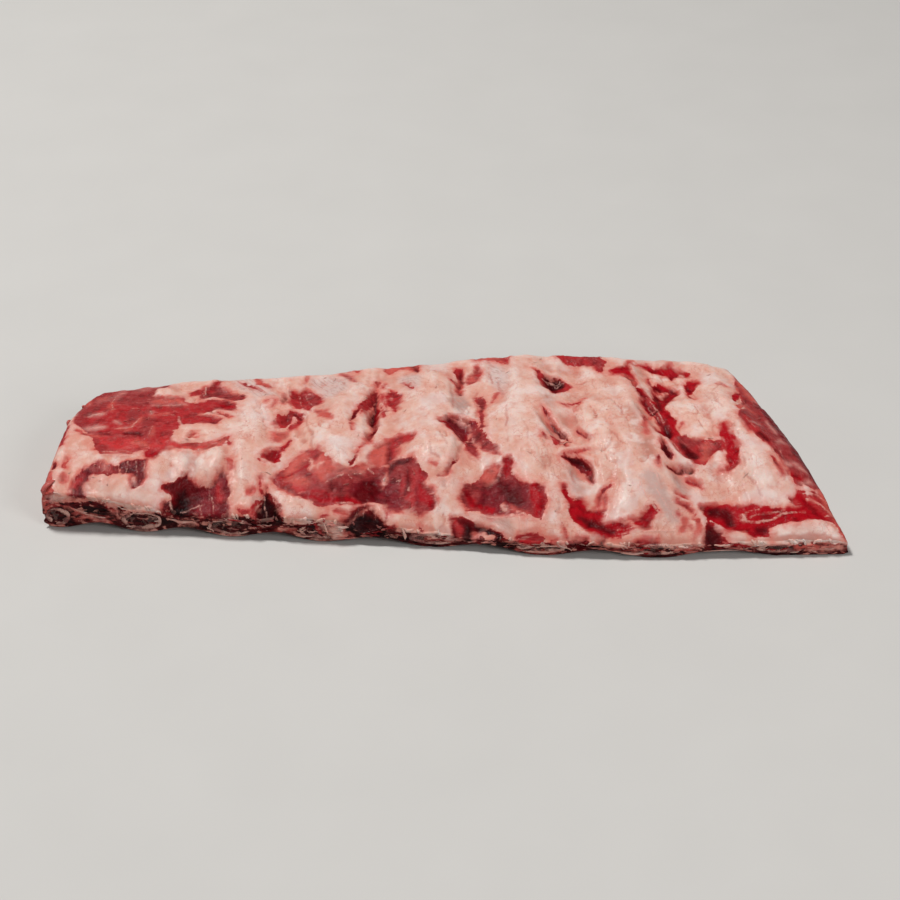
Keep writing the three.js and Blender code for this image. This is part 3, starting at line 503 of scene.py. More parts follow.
    ("film", [(109, -42), (114, -39.5), (119, -42), (124, -50), (129, -60), (131, -68), (126, -69),
              (119, -62), (112, -53)]),
    ("grey", [(127, -36), (134, -34), (137, -44), (135, -52), (129, -48)]),
    ("deep", [(125, -34, 0.8), (129, -32, 1.8), (132, -30.5, 2)]),
    ("black", [(134, -30, 1.3), (137, -31, 1.7)]),
    ("bright", [(136, -36, 1.2), (139, -38, 1.8), (142, -41, 1.5), (143.5, -43, 0.5)]),
    ("bright", [(130, -51, 1.4), (134, -51, 1.2)]),
    ("red", [(130, -56, 1.8), (134, -57, 2.2), (137, -60, 1.2)]),
    ("red", [(129, -62, 0.5), (129.5, -63, 0.3)]),
    ("red", [(140, -61, 0.5), (139.5, -64.5, 0.5)]),
    ("bright", [(112, -63), (116, -60), (118, -64), (116, -72.5), (113, -73.5), (108, -70), (103, -67),
                (108, -66)]),
    ("light", [(133, -71, 1.2), (134, -66, 1)]),
    ("light", [(139, -76, 1), (142, -70, 1.2), (142, -64, 1)]),
    ("red", [(137, -70, 0.9), (138, -72, 0.6)]),
    # Eighth rib and the right end.
    ("bright", [(135, 52), (138, 58), (141, 60), (144, 55), (142, 48), (139, 42), (136, 42), (135, 47)]),
    ("deep", [(137, 50, 0.8), (138, 46, 0.6)]),
    ("red", [(137, 42, 0.4), (139, 37, 0.3), (141, 34, 0.2)]),
    ("ridge", [(148, 34, 4), (160, 8, 5), (168, -12, 5), (176, -32, 5), (184, -48, 5)]),
    ("lobe", [(152, 50), (157, 56), (163, 54), (166, 46), (162, 30), (157, 22), (153, 30), (151, 40)]),
    ("sheet", [(163, 90), (166, 70), (165, 55), (167, 46), (169, 40), (168, 30), (170, 25), (166, 19),
               (164, 15), (166, 9), (169, 3), (174, -3), (178, -9), (183, -15), (187, -21), (191, -30),
               (198, -37), (207, -37), (216, -30), (230, -60), (240, 0), (200, 60), (180, 90)]),
    ("red", [(169, 14, 1.5), (173, 3, 2), (179, -5, 2), (184, -12, 1.4)]),
    ("wine", [(176, 44, 2), (181, 30, 2.4), (190, 4, 2)]),
    ("red", [(183, -22, 0.6), (186, -27, 1), (189, -33, 0.8)]),
    ("light", [(168, 80, 2.5), (168, 62, 2), (176, 42, 3)]),
    ("light", [(169, 29, 2), (166, 24, 2)]),
    ("light", [(172, 27, 0.8), (175, 23, 0.9)]),
    ("deep", [(178, -3, 2), (182, -8, 1.6)]),
    ("deep", [(183, 28, 2), (188, 14, 2)]),
    ("bright", [(167, 44, 1.6), (165, 38, 2.8), (162.5, 32, 1.6)]),
    ("light", [(157, 52, 0.7), (160, 50, 0.8)]),
    # Darker muscle down the right end: partly its own colour, partly painted shade where it slopes away from
    # the light.
    ("dusk", [(186, 32, 3), (192, 12, 5), (202, -10, 6), (212, -28, 4)]),
    ("fascia", [(182, 17, 0.4), (185, 10, 0.5), (186, 4, 0.3)]),
    ("fascia", [(187.5, -6, 0.7), (190, -3, 0.8)]),
    ("fascia", [(173, 9.5, 0.6), (177, 8, 0.6)]),
    ("bright", [(193, -30, 1.6), (199, -33, 2)]),
    ("fascia", [(190, -24, 0.8), (196, -21, 1), (202, -25, 0.8)]),
    ("fascia", [(200, -36, 1), (204, -32, 1)]),
    ("red", [(192, -48), (197, -42), (204, -40), (212, -41), (219, -48), (223, -62), (214, -58),
             (206, -59), (200, -55), (194, -53)]),
    ("bright", [(197, -46, 2.5), (202, -51, 3)]),
    ("light", [(210, -38, 2), (218, -54, 2.5), (222, -64, 2)]),
    ("fat", [(199, -43, 0.3), (208, -42, 0.8), (217, -45, 0.6)]),
    ("fat", [(202, -47, 0.2), (211, -48, 0.7), (218, -53, 0.5)]),
    ("fat", [(206, -54, 0.3), (213, -54.5, 0.6)]),
    ("bright", [(142, -56), (146, -54), (151, -52.5), (158, -52), (165, -53), (171, -52), (178, -53),
                (181, -54), (190, -54), (197, -52), (204, -50), (210, -52), (213, -57.5), (206, -59),
                (201, -61), (196, -63), (190, -63), (186, -64.5), (182, -66), (184, -70), (180, -71),
                (172, -70.5), (168, -68.5), (163, -70), (158, -70), (152, -68), (148, -69), (146, -62),
                (144, -58)]),
    ("deep", [(149, -57, 2), (158, -59, 4), (160, -63, 3)]),
    ("deep", [(175, -66, 1.5), (180, -67, 1.8)]),
    ("fat", [(149, -63.5, 0.4), (152, -66.5, 0.8), (157, -69.5, 0.9), (163, -71, 0.8)]),
    ("fat", [(167, -58.5, 0.9), (168, -61.5, 0.9)]),
    ("deep", [(146, -63), (149, -66), (154, -70), (158, -75), (161, -82), (146, -84), (144.5, -72)]),
    ("red", [(155, -73, 0.6), (159, -78, 0.6)]),
    ("black", [(148, -72, 0.6), (150, -76, 1), (151, -80, 0.8)]),
    ("fat", [(149, -64, 0.3), (153, -68.5, 0.6), (158, -71.5, 0.8)]),
    ("lobe", [(184, -69, 2), (195, -67, 3), (214, -64, 4)]),
    ("cream", [(188, -68, 4), (205, -66, 5), (220, -66, 4)]),
    ("cream", [(162, -74, 2), (180, -74, 2)]),
    ("cream", [(100, -50, 3), (98, -60, 2)]),
    ("cream", [(-66, -28, 4), (-62, -42, 3)]),
]

# White threads and tendons, then creases, dark with painted shade: chains of x, y and half their width.
THREADS = [
    [(-160.5, -9, 0.7), (-159, -14, 0.8), (-156, -19, 0.7)],
    [(-216, -11, 0.2), (-206, -7.5, 0.3)],
    [(-201, 19, 0.3), (-203, 6, 0.3), (-201, -3, 0.2)],
    [(-180, 4.8, 0.2), (-161, 4.4, 0.25)],
    [(-197, -14, 0.3), (-191, -18, 0.2)],
    [(-183, -12, 0.3), (-185, -21, 0.25), (-190, -23, 0.2)],
    [(-178, -3, 0.4), (-177, -5, 0.4)],
    [(-173, -20, 0.2), (-173, -30, 0.2)],
    [(-197, -44.6, 0.3), (-181, -43.8, 0.3)],
    [(-171, -8, 0.1), (-162, -6, 0.2)],
    [(-151, 28, 0.5), (-150, 16, 0.5)],
    [(-199, -57, 0.3), (-198, -66, 0.2)],
    [(-191, -55, 0.3), (-190.5, -64, 0.2)],
    [(-181, -52, 0.3), (-180, -62, 0.2)],
    [(-176, -51, 0.25), (-174.5, -60, 0.2)],
    [(-171.5, -51, 0.25), (-170.5, -58, 0.2)],
    [(-133, -63, 0.1), (-131.5, -73, 0.1)],
    [(-50, -77, 0.1), (-47, -71, 0.1)],
    [(-45, -74, 0.1), (-43.5, -68, 0.1)],
    [(-37, -76, 0.1), (-38, -72, 0.1)],
    [(-196, -48, 1), (-178, -46.5, 0.9)],
    [(-154, -70, 0.4), (-151, -81, 0.6)],
    [(-138, -72, 0.35), (-134, -81, 0.4)],
    [(-131, -68, 0.3), (-127, -81, 0.35)],
    [(-147, -78, 0.3), (-136, -73, 0.35)],
    [(-142, -32, 0.35), (-143.5, -35, 0.3)],
    [(-109, -52, 0.7), (-105, -53.5, 1.1)],
    [(-101, 31, 0.6), (-100.5, 22, 0.4)],
    [(-91, 27, 0.25), (-84, 12, 0.3)],
    [(-94, 26, 0.25), (-91, 12, 0.3)],
    [(-80, 46, 0.5), (-71, 41, 0.6), (-65, 34, 0.4)],
    [(-101.5, -66, 0.3), (-98, -77, 0.5)],
    [(-67, -59, 0.3), (-58, -52, 0.4)],
    [(-60, -70, 0.4), (-51, -68.5, 0.5)],
    [(-52, -50, 0.4), (-48, -48, 0.3)],
    [(-45, -44, 0.5), (-42, -46, 0.4)],
    [(-55, -51.5, 0.3), (-53, -53, 0.3)],
    [(-20.8, -57, 0.7), (-20.5, -55, 0.5)],
    [(-28, -50, 0.4), (-26, -51, 0.4)],
    [(-25, -62, 0.4), (-22.5, -61, 0.3)],
    [(-40, 55, 0.3), (-36, 53.5, 0.4), (-32, 48, 0.3)],
    [(14, -68.3, 0.7), (22, -68.5, 0.8), (28, -69.6, 0.6), (33, -71.5, 0.4)],
    [(32, -62, 0.7), (33, -65, 0.5), (35, -67, 0.8)],
    [(42.5, -72, 0.6), (43.5, -78, 0.9)],
    [(46.2, -73, 0.5), (46, -78, 0.6)],
    [(50, 50.5, 0.35), (57, 51, 0.4), (64, 52.5, 0.3)],
    [(54, 54.5, 0.3), (58.5, 48.5, 0.35)],
    [(60.5, 54, 0.25), (59, 49, 0.3)],
    [(53, 49, 0.25), (60, 52, 0.3)],
    [(57.5, 4, 0.25), (60.5, -1, 0.25)],
    [(97, -73.2, 0.35), (107, -72.4, 0.4)],
    [(95, -75.6, 0.25), (105, -75.4, 0.3)],
    [(112, 33, 0.25), (119, 18.5, 0.35), (122.5, 10, 0.3)],
    [(113, 24, 0.2), (120, 12, 0.25)],
    [(109, -42.5, 0.35), (113, -40, 0.4), (118, -42, 0.5), (119.6, -48, 0.3)],
    [(108.5, -48, 0.4), (112, -56, 0.6), (118, -63, 0.5), (124, -69, 0.4)],
    [(118, -52, 0.4), (124, -60, 0.5), (130, -67, 0.4)],
    [(104, -74.4, 0.35), (128, -72.8, 0.45)],
    [(166, -59, 0.6), (168, -62.6, 0.6), (175, -62.6, 0.5), (182, -61, 0.6), (188, -57.6, 0.7),
     (194, -56.6, 0.5), (201, -56, 0.3)],
    [(168, -57.4, 0.35), (175, -55.4, 0.35)],
    [(170, -60.2, 0.35), (180, -57.6, 0.4), (188, -55.4, 0.3)],
    [(143, -5, 0.2), (151, -8.5, 0.2)],
    [(200, 0, 0.3), (196, 10, 0.4)],
]
CREASES = [
    [(-91, 42, 0.3), (-92.5, 36, 0.4), (-89, 30, 0.4)],
    [(-120, 28, 0.3), (-115, 22, 0.3)],
    [(-131, 31, 0.3), (-127.5, 26.5, 0.4)],
    [(-80, 44.5, 0.3), (-72, 39.5, 0.4), (-66, 31, 0.4)],
    [(-86, 0, 0.5), (-84, -10, 0.6), (-80, -22, 0.6), (-78, -35, 0.5)],
    [(-4, 36, 0.3), (-2, 22, 0.4), (-1, 12, 0.3)],
    [(12, 33, 0.3), (9.5, 28, 0.5), (13, 15, 0.4), (13, 5, 0.4)],
    [(6, 16, 0.3), (8, 11, 0.3)],
    [(-6, -20, 0.3), (-3, -25, 0.5), (-1, -29, 0.3)],
    [(7, -22, 0.5), (5, -30, 0.4), (4, -36, 0.4)],
    [(-12, -28, 0.3), (-10, -36, 0.4), (-5, -39, 0.3)],
    [(24, 45, 0.3), (24.5, 36, 0.6), (27.5, 29, 0.3)],
    [(17, 56, 0.3), (20, 44, 0.4)],
    [(30.5, 14, 0.3), (31.4, 2, 0.4), (30.5, -6, 0.3)],
    [(40, 0, 0.2), (43, -10, 0.3), (45, -20, 0.2)],
    [(92, -14, 0.3), (91, -20, 0.5), (88, -23.6, 0.5)],
    [(72, 4, 0.3), (70.6, 10, 0.3)],
    [(53, -33, 0.3), (55, -31, 0.4), (57, -33, 0.3), (57.6, -38, 0.3)],
    [(70.4, -38, 0.3), (71.5, -45, 0.7), (73, -46.5, 0.3)],
    [(152, 42, 0.3), (155, 50, 0.4), (158, 53, 0.4)],
    [(151, 40, 0.3), (153, 30, 0.4), (157, 22, 0.3)],
    [(166, -22, 0.3), (167.6, -28, 0.4), (166, -31.5, 0.3)],
    [(167, -33, 0.25), (173, -40, 0.3), (177, -47.5, 0.25)],
    [(132, -64, 0.4), (134.5, -68, 0.5), (131, -72, 0.3)],
    [(64.5, -60, 0.3), (63.5, -69, 0.5)],
    [(-150, -14, 0.4), (-149.6, -13.4, 0.3)],
    [(8, -27, 0.3), (12, -33, 0.4), (16, -35, 0.3)],
    [(146, -30.5, 0.2), (160, -29.5, 0.4), (166, -24, 0.2)],
]

# What shows at the sawn face, by x and height; its near-black rows are painted shadow between the ribs.
FACE_PAINT = [
    # Pale flesh under the first four bones.
    ("fat", [(-222, 0.8, 0.9), (-212, 0.8, 0.9)]),
    ("fat", [(-177, 0.8, 0.9), (-161, 0.8, 0.9)]),
    ("fat", [(-128, 0.8, 0.9), (-110, 0.8, 0.9)]),
    ("fat", [(-76, 0.8, 0.8), (-62, 0.8, 0.8)]),
    # Round the first two ribs.
    ("fat", [(-224, 21, 5), (-212, 22, 4), (-200, 21, 3.5), (-188, 20, 4), (-178, 17, 2.5), (-165, 16, 1)]),
    ("light", [(-224, 17, 3), (-224, 12, 2)]),
    ("red", [(-222, 18.5, 1.2), (-220, 15.5, 1), (-211, 15.8, 1)]),
    ("deep", [(-215, 15, 0.8), (-206, 15.5, 2), (-197, 16, 3.2), (-190, 15, 3.6)]),
    ("black", [(-207, 13.5, 1.4), (-196, 12.5, 3), (-190, 12.5, 2.5)]),
    ("fat", [(-211, 14, 0.4), (-205, 12.2, 0.5), (-198, 9, 0.5)]),
    ("light", [(-209, 12, 0.6), (-202, 9.5, 0.8)]),
    ("light", [(-206, 7, 1.5), (-198, 7.5, 1.8), (-187, 7, 1.5)]),
    ("fat", [(-203, 7.8, 0.7), (-196, 8.2, 0.9), (-189, 7, 0.5)]),
    ("deep", [(-205, 5.4, 0.8), (-190, 6, 0.8)]),
    ("fat", [(-186, 17, 2), (-184.5, 13, 2.8), (-182, 9.5, 1)]),
    ("red", [(-188, 16, 0.5), (-184, 12.5, 0.5)]),
    ("red", [(-181, 15.4, 0.5), (-170, 16.2, 0.4), (-158, 15.4, 0.5)]),
    # Between the second and the third.
    ("red", [(-157, 14, 1.5), (-146, 13, 1), (-134, 12.5, 1.2)]),
    ("deep", [(-156, 12, 1.2), (-148, 11.5, 1.6), (-137, 11, 1.6)]),
    ("black", [(-149, 12.5, 0.8), (-138, 11, 1)]),
    ("fat", [(-154, 9.4, 0.6), (-146, 8.6, 0.9), (-137, 7.4, 0.6)]),
    ("black", [(-158, 6.5, 1.4), (-152, 7.2, 0.8), (-134, 6, 0.8)]),
    ("fat", [(-141, 12.8, 0.4), (-138, 12.4, 0.5)]),
    ("fat", [(-133, 12.8, 0.4), (-131, 11.5, 0.4)]),
    # Between the third and the fourth, and over the fourth.
    ("deep", [(-104, 9, 2.5), (-99, 6.5, 2)]),
    ("grey", [(-98, 11, 1.5), (-90, 11.5, 2), (-82, 11, 1.5)]),
    ("light", [(-91, 6.5, 1.2), (-83, 6.5, 1)]),
    ("fat", [(-89.5, 6.5, 0.5), (-86, 7.2, 0.6)]),
    ("deep", [(-98, 7, 1), (-92, 8, 0.7)]),
    ("fat", [(-91, 12.8, 0.7), (-84, 12.8, 1.3), (-72, 12.8, 1.2), (-56, 12, 2)]),
    ("deep", [(-80, 8.6, 1.2), (-73, 10, 1.4), (-69, 11, 2.2)]),
    ("red", [(-70, 12, 1), (-69, 8, 1.2), (-67.5, 5, 1)]),
    ("fat", [(-65.6, 10.4, 0.4), (-65.2, 7, 0.5), (-64, 4.4, 0.4)]),
    ("fat", [(-62, 9, 2.6), (-57, 7, 5), (-60, 3, 2)]),
    ("light", [(-53, 9, 1.8), (-51, 5.5, 1.4)]),
    # Between the fourth and the fifth, and over the fifth.
    ("black", [(-52, 9, 2.6), (-44, 7.5, 3.4), (-34, 7.5, 3)]),
    ("grey", [(-36, 6.6, 0.6), (-30, 8, 1.2), (-23, 8, 1.4)]),
    ("black", [(-46, 5.6, 1.4), (-24, 4.6, 1.2)]),
    ("fat", [(-24, 9.6, 0.9), (-10, 9.6, 1), (8, 9.2, 1)]),
    ("fat", [(-8, 7, 0.45), (2, 6.4, 0.5), (8, 6, 0.4)]),
    ("light", [(-12, 5.4, 0.6), (4, 5, 0.6)]),
    ("deep", [(-8, 4, 0.8), (6, 4.4, 0.7)]),
    # Between the fifth and the sixth, and over the sixth.
    ("fat", [(8, 8.2, 0.9), (12, 7.2, 0.9)]),
    ("black", [(13, 6.6, 1.8), (26, 6.4, 2.2), (38, 5.4, 2.4)]),
    ("red", [(20, 7.4, 0.5), (32, 7.4, 0.5)]),
    ("bright", [(44, 8.2, 1.2), (56, 8.2, 1.1), (69, 8.6, 0.9)]),
    ("fat", [(44, 5.6, 0.4), (56, 6.2, 0.5), (68, 6.8, 0.4)]),
    ("black", [(45, 4.4, 0.5), (56, 4.6, 0.6), (66, 5.2, 0.5)]),
    ("light", [(42, 2.6, 0.8), (55, 2.4, 1), (66, 3, 0.8)]),
    # Between the sixth and the seventh, and over the seventh.
    ("deep", [(71, 7, 2), (80, 6, 2)]),
    ("black", [(83, 6.6, 1.6), (90, 7, 1.4)]),
    ("fat", [(92, 8.2, 1), (98, 8, 1.2), (103, 8.4, 0.8)]),
    ("red", [(96, 5.6, 0.8), (104, 6, 1)]),
    ("light", [(104, 6, 1.4), (111, 7, 1)]),
    ("fat", [(104, 3, 0.8), (110, 2.6, 0.9)]),
    ("fat", [(112, 9, 0.5), (130, 9, 0.6)]),
    ("light", [(130, 6, 2), (140, 6, 2)]),
    ("fat", [(131, 7.6, 0.7), (136, 7, 0.7), (143, 7.6, 0.6)]),
    ("red", [(134, 5, 0.6), (139, 7, 0.5)]),
    # Between the seventh and the eighth, over the eighth and at the right end.
    ("deep", [(145, 5.6, 1), (158, 5.6, 1)]),
    ("black", [(140, 4.4, 0.6), (152, 4.6, 0.5)]),
    ("fat", [(148, 8, 0.6), (153, 7.4, 0.8), (158, 7.8, 0.6)]),
    ("bright", [(156, 8.4, 0.6), (163, 7, 0.8), (168, 5.8, 0.8)]),
    ("deep", [(166, 3.8, 0.9), (180, 4, 1), (196, 5.5, 0.8)]),
    ("fat", [(165, 7.4, 1.2), (180, 7.6, 1.4), (193, 8, 1.1)]),
    ("light", [(196, 5.6, 2), (208, 5.6, 2.6), (222, 6, 2.6)]),
    ("fat", [(204, 8.4, 0.5), (222, 8, 0.8)]),
    ("fat", [(198, 3.6, 0.5), (210, 3, 0.8), (221, 4, 0.8)]),
]

# Where torn flesh hangs over the bones' cut ends, by x and height.
COVERS = [
    [(-224, 4, 1), (-219, 1.5, 1)],
    [(-225, 9, 1), (-223, 13, 1)],
    [(-182, 9, 1), (-179, 12, 1.3), (-172, 14.2, 0.9), (-160, 15.2, 0.7)],
    [(-131, 9, 1), (-126, 12, 0.9), (-120, 13, 0.5)],
    [(-108, 5, 1), (-105, 8, 1)],
    [(-82, 11, 1.4), (-72, 10.6, 1.4), (-69, 9, 1.8), (-68, 5, 1.2)],
    [(-60, 10, 3), (-57, 6, 4.5), (-60, 3, 2.5)],
    [(-20, 9.4, 1), (8, 9.2, 1)],
    [(-9, 7, 0.9), (2, 6.2, 1.2), (8, 6, 1.2)],
    [(-10, 5, 0.6), (6, 4.6, 0.8)],
    [(42, 8.2, 1.2), (69, 8.6, 1.2)],
    [(44, 5.8, 0.7), (56, 6.2, 0.8), (68, 6.8, 0.8)],
    [(41, 2.4, 0.8), (50, 1.8, 0.8)],
    [(102, 5, 2.2), (109, 4.6, 2)],
    [(130, 5, 2), (136, 5, 2.4)],
    [(172, 7.4, 0.9), (196, 7.8, 0.9)],
    [(197, 4.6, 2.4), (207, 4.8, 2.6)],
]

# ---------------------------------------------------------------- curves and noise


def clamp01(q):
    return np.clip(q, 0.0, 1.0)


def mix(a, b, q):
    return a + (b - a) * q


def smooth(q):
    q = clamp01(q)
    return q * q * (3 - 2 * q)


def through(points):
    """A smooth curve y(x) through the given points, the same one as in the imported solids."""
    at = np.array(points, float)
    last = len(at) - 1
    before = np.maximum(np.arange(last + 1) - 1, 0)
    after = np.minimum(np.arange(last + 1) + 1, last)
    slope = (at[after, 1] - at[before, 1]) / (at[after, 0] - at[before, 0])

    def curve(x):
        x = np.asarray(x, float)
        i = np.clip(np.searchsorted(at[:, 0], x) - 1, 0, last - 1)
        span = at[i + 1, 0] - at[i, 0]
        q = clamp01((x - at[i, 0]) / span)
        lead = q * (1 - q) ** 2 * slope[i] * span
        trail = q * q * (q - 1) * slope[i + 1] * span
        return mix(at[i, 1], at[i + 1, 1], q * q * (3 - 2 * q)) + lead + trail

    return curve


def noise(x, y, size, seed):
    """Smooth bumps about size mm wide, from -1 to 1."""
    table = np.random.default_rng(seed).uniform(-1, 1, (256, 256))
    u, v = x / size + 128.0, y / size + 128.0
    i, j = np.floor(u).astype(int), np.floor(v).astype(int)
    fu, fv = smooth(u - i), smooth(v - j)
    corner = lambda a, b: table[(i + a) % 256, (j + b) % 256]
    return mix(mix(corner(0, 0), corner(1, 0), fu), mix(corner(0, 1), corner(1, 1), fu), fv)


def rough(x, y, size, seed, octaves=3):
    """Noise with finer noise on it."""
    layers = [noise(x, y, size / 2 ** k, seed + k) / 1.7 ** k for k in range(octaves)]
    return sum(layers)


def pillows(x, y, size, seed):
    """Soft lobes about size mm wide with creases between: 1 in the middle of a lobe, 0 in a crease."""
    rng = np.random.default_rng(seed)
    jitter = rng.uniform(0.1, 0.9, (64, 64, 2))
    u, v = x / size + 32.0, y / size + 32.0
    i, j = np.floor(u).astype(int), np.floor(v).astype(int)
    near = np.full(x.shape, 9.0)
    second = np.full(x.shape, 9.0)
    for a in (-1, 0, 1):
        for b in (-1, 0, 1):
            seed_at = jitter[(i + a) % 64, (j + b) % 64]
            away = np.hypot(i + a + seed_at[..., 0] - u, j + b + seed_at[..., 1] - v)
            second = np.minimum(second, np.maximum(near, away))
            near = np.minimum(near, away)
    return smooth((second - near) * 1.6)


sawn_y = through(SAWN_EDGE)
spine_y = through(SPINE_EDGE)
sawn_top = through(TOP_AT_SAWN_EDGE)
crest_top = through(TOP_AT_CREST)
spine_top = through(TOP_AT_SPINE_EDGE)


def left_x(t):
    return LEFT_X + LEFT_CORNER_IN * t ** 8


def right_x(t):
    return mix(RIGHT_NEAR_X, RIGHT_FAR_X, t) + RIGHT_BULGE * 4 * t * (1 - t)


def plan(s, t):
    x = mix(left_x(t), right_x(t), s)
    return x, mix(sawn_y(x), spine_y(x), t)


def between_ribs(x, t, values):
    """How far x lies into the gap between two ribs, from 0 to 1, times that gap's value."""
    at = [mix(rib[0], rib[1], t) for rib in RIBS]
    out = np.zeros(x.shape)
    for left, right, value in zip(at, at[1:], values):
        q = (x - left) / (right - left)
        out = np.where((q >= 0) & (q < 1), (0.5 - 0.5 * np.cos(2 * np.pi * q)) * value, out)
    return out


def arch_z(x, t):
    depth = spine_y(x) - sawn_y(x)
    q = clamp01(t / ARCH_END)
    return ARCH_HEIGHT * (depth / ARCH_DEPTH) ** 2 * 4 * q * (1 - q)


def bottom_z(x, t):
    return arch_z(x, t) + UNDER_HOLLOW * between_ribs(x, t, [1] * len(RIBS))


def relief_z(x, y):
    total = np.zeros(x.shape)
    for cx, cy, long, wide, turn, rises in RELIEF:
        c, s = math.cos(math.radians(turn)), math.sin(math.radians(turn))
        along = (x - cx) * c + (y - cy) * s
        aside = (y - cy) * c - (x - cx) * s
        total += rises * smooth(1 - np.hypot(along / long, aside / wide))
    return total


def top_z(x, y, t):
    past = np.where(t < CREST_AT, 1 - t / CREST_AT, (t - CREST_AT) / (1 - CREST_AT))
    foot = np.where(t < CREST_AT, sawn_top(x), spine_top(x))
    near_right = clamp01(1 - (right_x(t) - x) / RIGHT_FALL_OVER)
    in_from_edges = smooth(t / SINK_FROM_SAWN) * smooth((1 - t) / SINK_FROM_SPINE)
    sunk = between_ribs(x, t, [rib[4] for rib in RIBS]) * in_from_edges
    fall = RIGHT_FALL * near_right ** 2 * smooth(t / SINK_FROM_SAWN)
    return mix(crest_top(x), foot, past ** 2) - fall - sunk + relief_z(x, y)


def heights(x, y, t):
    """Top and bottom of the rack at a point, with the rim rounded at the spine edge and the two ends."""
    from_rim = np.minimum(np.minimum(spine_y(x) - y, x - left_x(t)), right_x(t) - x)
    bottom = bottom_z(x, t)
    top = np.maximum(top_z(x, y, t), bottom + THINNEST)
    middle = (top + bottom) / 2
    q = clamp01(from_rim / EDGE_ROUND)
    full = mix(RIM_SHARE, 1, np.sqrt(1 - (1 - q) ** 2))
    return mix(middle, top, full), mix(middle, bottom, full)


# ---------------------------------------------------------------- laying the tissues


def linear(colour):
    """An sRGB colour from 0 to 255 as the linear values that Blender takes."""
    c = np.array(colour, float) / 255
    return np.where(c <= 0.04045, c / 12.92, ((c + 0.055) / 1.055) ** 2.4)


def into_stroke(x, y, points):
    """How far a point lies inside a chain of round dabs (x, y, radius); below 0 outside."""
    if len(points) == 1:
        points = [points[0], points[0]]
    best = np.full(x.shape, -99.0)
    for (x0, y0, r0), (x1, y1, r1) in zip(points, points[1:]):
        length2 = (x1 - x0) ** 2 + (y1 - y0) ** 2 + 1e-9
        q = clamp01(((x - x0) * (x1 - x0) + (y - y0) * (y1 - y0)) / length2)
        best = np.maximum(best, mix(r0, r1, q) - np.hypot(x - mix(x0, x1, q), y - mix(y0, y1, q)))
    return best


def into_outline(x, y, points):
    """How far a point lies inside a closed outline; below 0 outside."""
    away = np.full(x.shape, 99.0)
    inside = np.zeros(x.shape, bool)
    for (x0, y0), (x1, y1) in zip(points, points[1:] + points[:1]):
        length2 = (x1 - x0) ** 2 + (y1 - y0) ** 2 + 1e-9
        q = clamp01(((x - x0) * (x1 - x0) + (y - y0) * (y1 - y0)) / length2)
        away = np.minimum(away, np.hypot(x - mix(x0, x1, q), y - mix(y0, y1, q)))
        if y0 != y1:
            crosses = ((y0 > y) != (y1 > y)) & (x < (x1 - x0) * (y - y0) / (y1 - y0) + x0)
            inside ^= crosses
    return np.where(inside, away, -away)


REACH = 8.0  # mm beyond a shape within which its distance is worked out


def into(x, y, points):
    """How far each point lies inside a shape, and which points are near enough to it to count."""
    at = np.array([p[:2] for p in points])
    room = REACH + (max(p[2] for p in points) if len(points[0]) == 3 else 0)
    near = (
        (x > at[:, 0].min() - room) & (x < at[:, 0].max() + room)
        & (y > at[:, 1].min() - room) & (y < at[:, 1].max() + room)
    )
    shape = into_stroke if len(points[0]) == 3 else into_outline
    return shape(x[near], y[near], points), near


def paint(x, y, rows, lean=-REACH, lean_base=KINDS["red"][1]):
    """Lays the rows one over the other, on what is there already. Returns the distance into lean, its
    colour, fat's colour, the silverskin's and the veil's strength and the relief."""
    lean = lean + np.zeros(x.shape)
    lean_colour = np.tile(linear(lean_base), (x.size, 1))
    fat_colour = np.tile(linear(FAT), (x.size, 1))
    silver, veil, relief = np.zeros((3, *x.shape))
    for kind, points in rows:
        opens, colour, rises, soft = KINDS[kind]
        depth, near = into(x, y, points)
        share = smooth(0.5 + depth / (2 * soft))
        if opens > 0:
            lean[near] = np.maximum(lean[near], depth)
            lean_colour[near] = mix(lean_colour[near], linear(colour), share[:, None])
        else:
            if opens < 0:
                lean[near] = np.minimum(lean[near], -depth)
            fat_colour[near] = mix(fat_colour[near], linear(colour), share[:, None])
        if opens:
            relief[near] = mix(relief[near], rises, share)
            silver[near] *= 1 - share
            veil[near] *= 1 - share
        else:
            relief[near] += rises * share
            silver[near] = np.maximum(silver[near], STRIPED.get(kind, 0) * share)
            veil[near] = np.maximum(veil[near], VEILED.get(kind, 0) * share)
    return lean, lean_colour, fat_colour, silver, veil, relief


def strands(x, y, chains):
    """How far each point lies inside the nearest of some thin chains; below 0 outside."""
    best = np.full(x.shape, -REACH)
    for points in chains:
        depth, near = into(x, y, points)
        best[near] = np.maximum(best[near], depth)
    return best


# ---------------------------------------------------------------- the flesh

ALONG = 481  # points along the rack on the top
ACROSS = 145  # points across it
WALL_ROWS = 17  # rows down the sides
UNDER_STEP = 3  # the underside has one point for so many of the top's
RIM_IN = 1.6  # how far in from the outline the top's grid ends, for the rounded edge (mm)
LIFT = 0.25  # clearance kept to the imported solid's own box (mm)
CUT_INSET = 0.45  # how far the bones' cut ends lie inside the sawn edge's outline (mm)
FLESH_INSET = 1.05  # the same for the flesh between them
COVER_INSET = 0.06  # the same where flesh hangs over the bones
FOOT_INSET = 0.2  # the same for the flesh below them
FOOT_OVER = 1.0  # how far above the bones' lowest line that flesh fades out (mm)
FOOT_DROP = 0.45  # how much lower the sawn face's foot reaches than its rows of points would (mm)
END_INSET = 0.45  # how far the flesh lies inside the outline at the other three edges
LOWEST = 0.02  # the skin's least height over what the rack lies on (mm)
ROLL_OVER = 5.0  # how far in from the sawn edge the top begins to roll over it (mm)
BLUR_REACH = 5  # points each way over which the top is averaged to find what lies hollow
HOLLOW_DEPTH = 0.7  # depth below that average which counts as fully hollow (mm)
HOLLOW_MOST = 1.5  # the most that a place counts as hollow or raised
CUT_SHADE_OVER = 7  # how far under the rack the dark of the sawn face runs (mm)

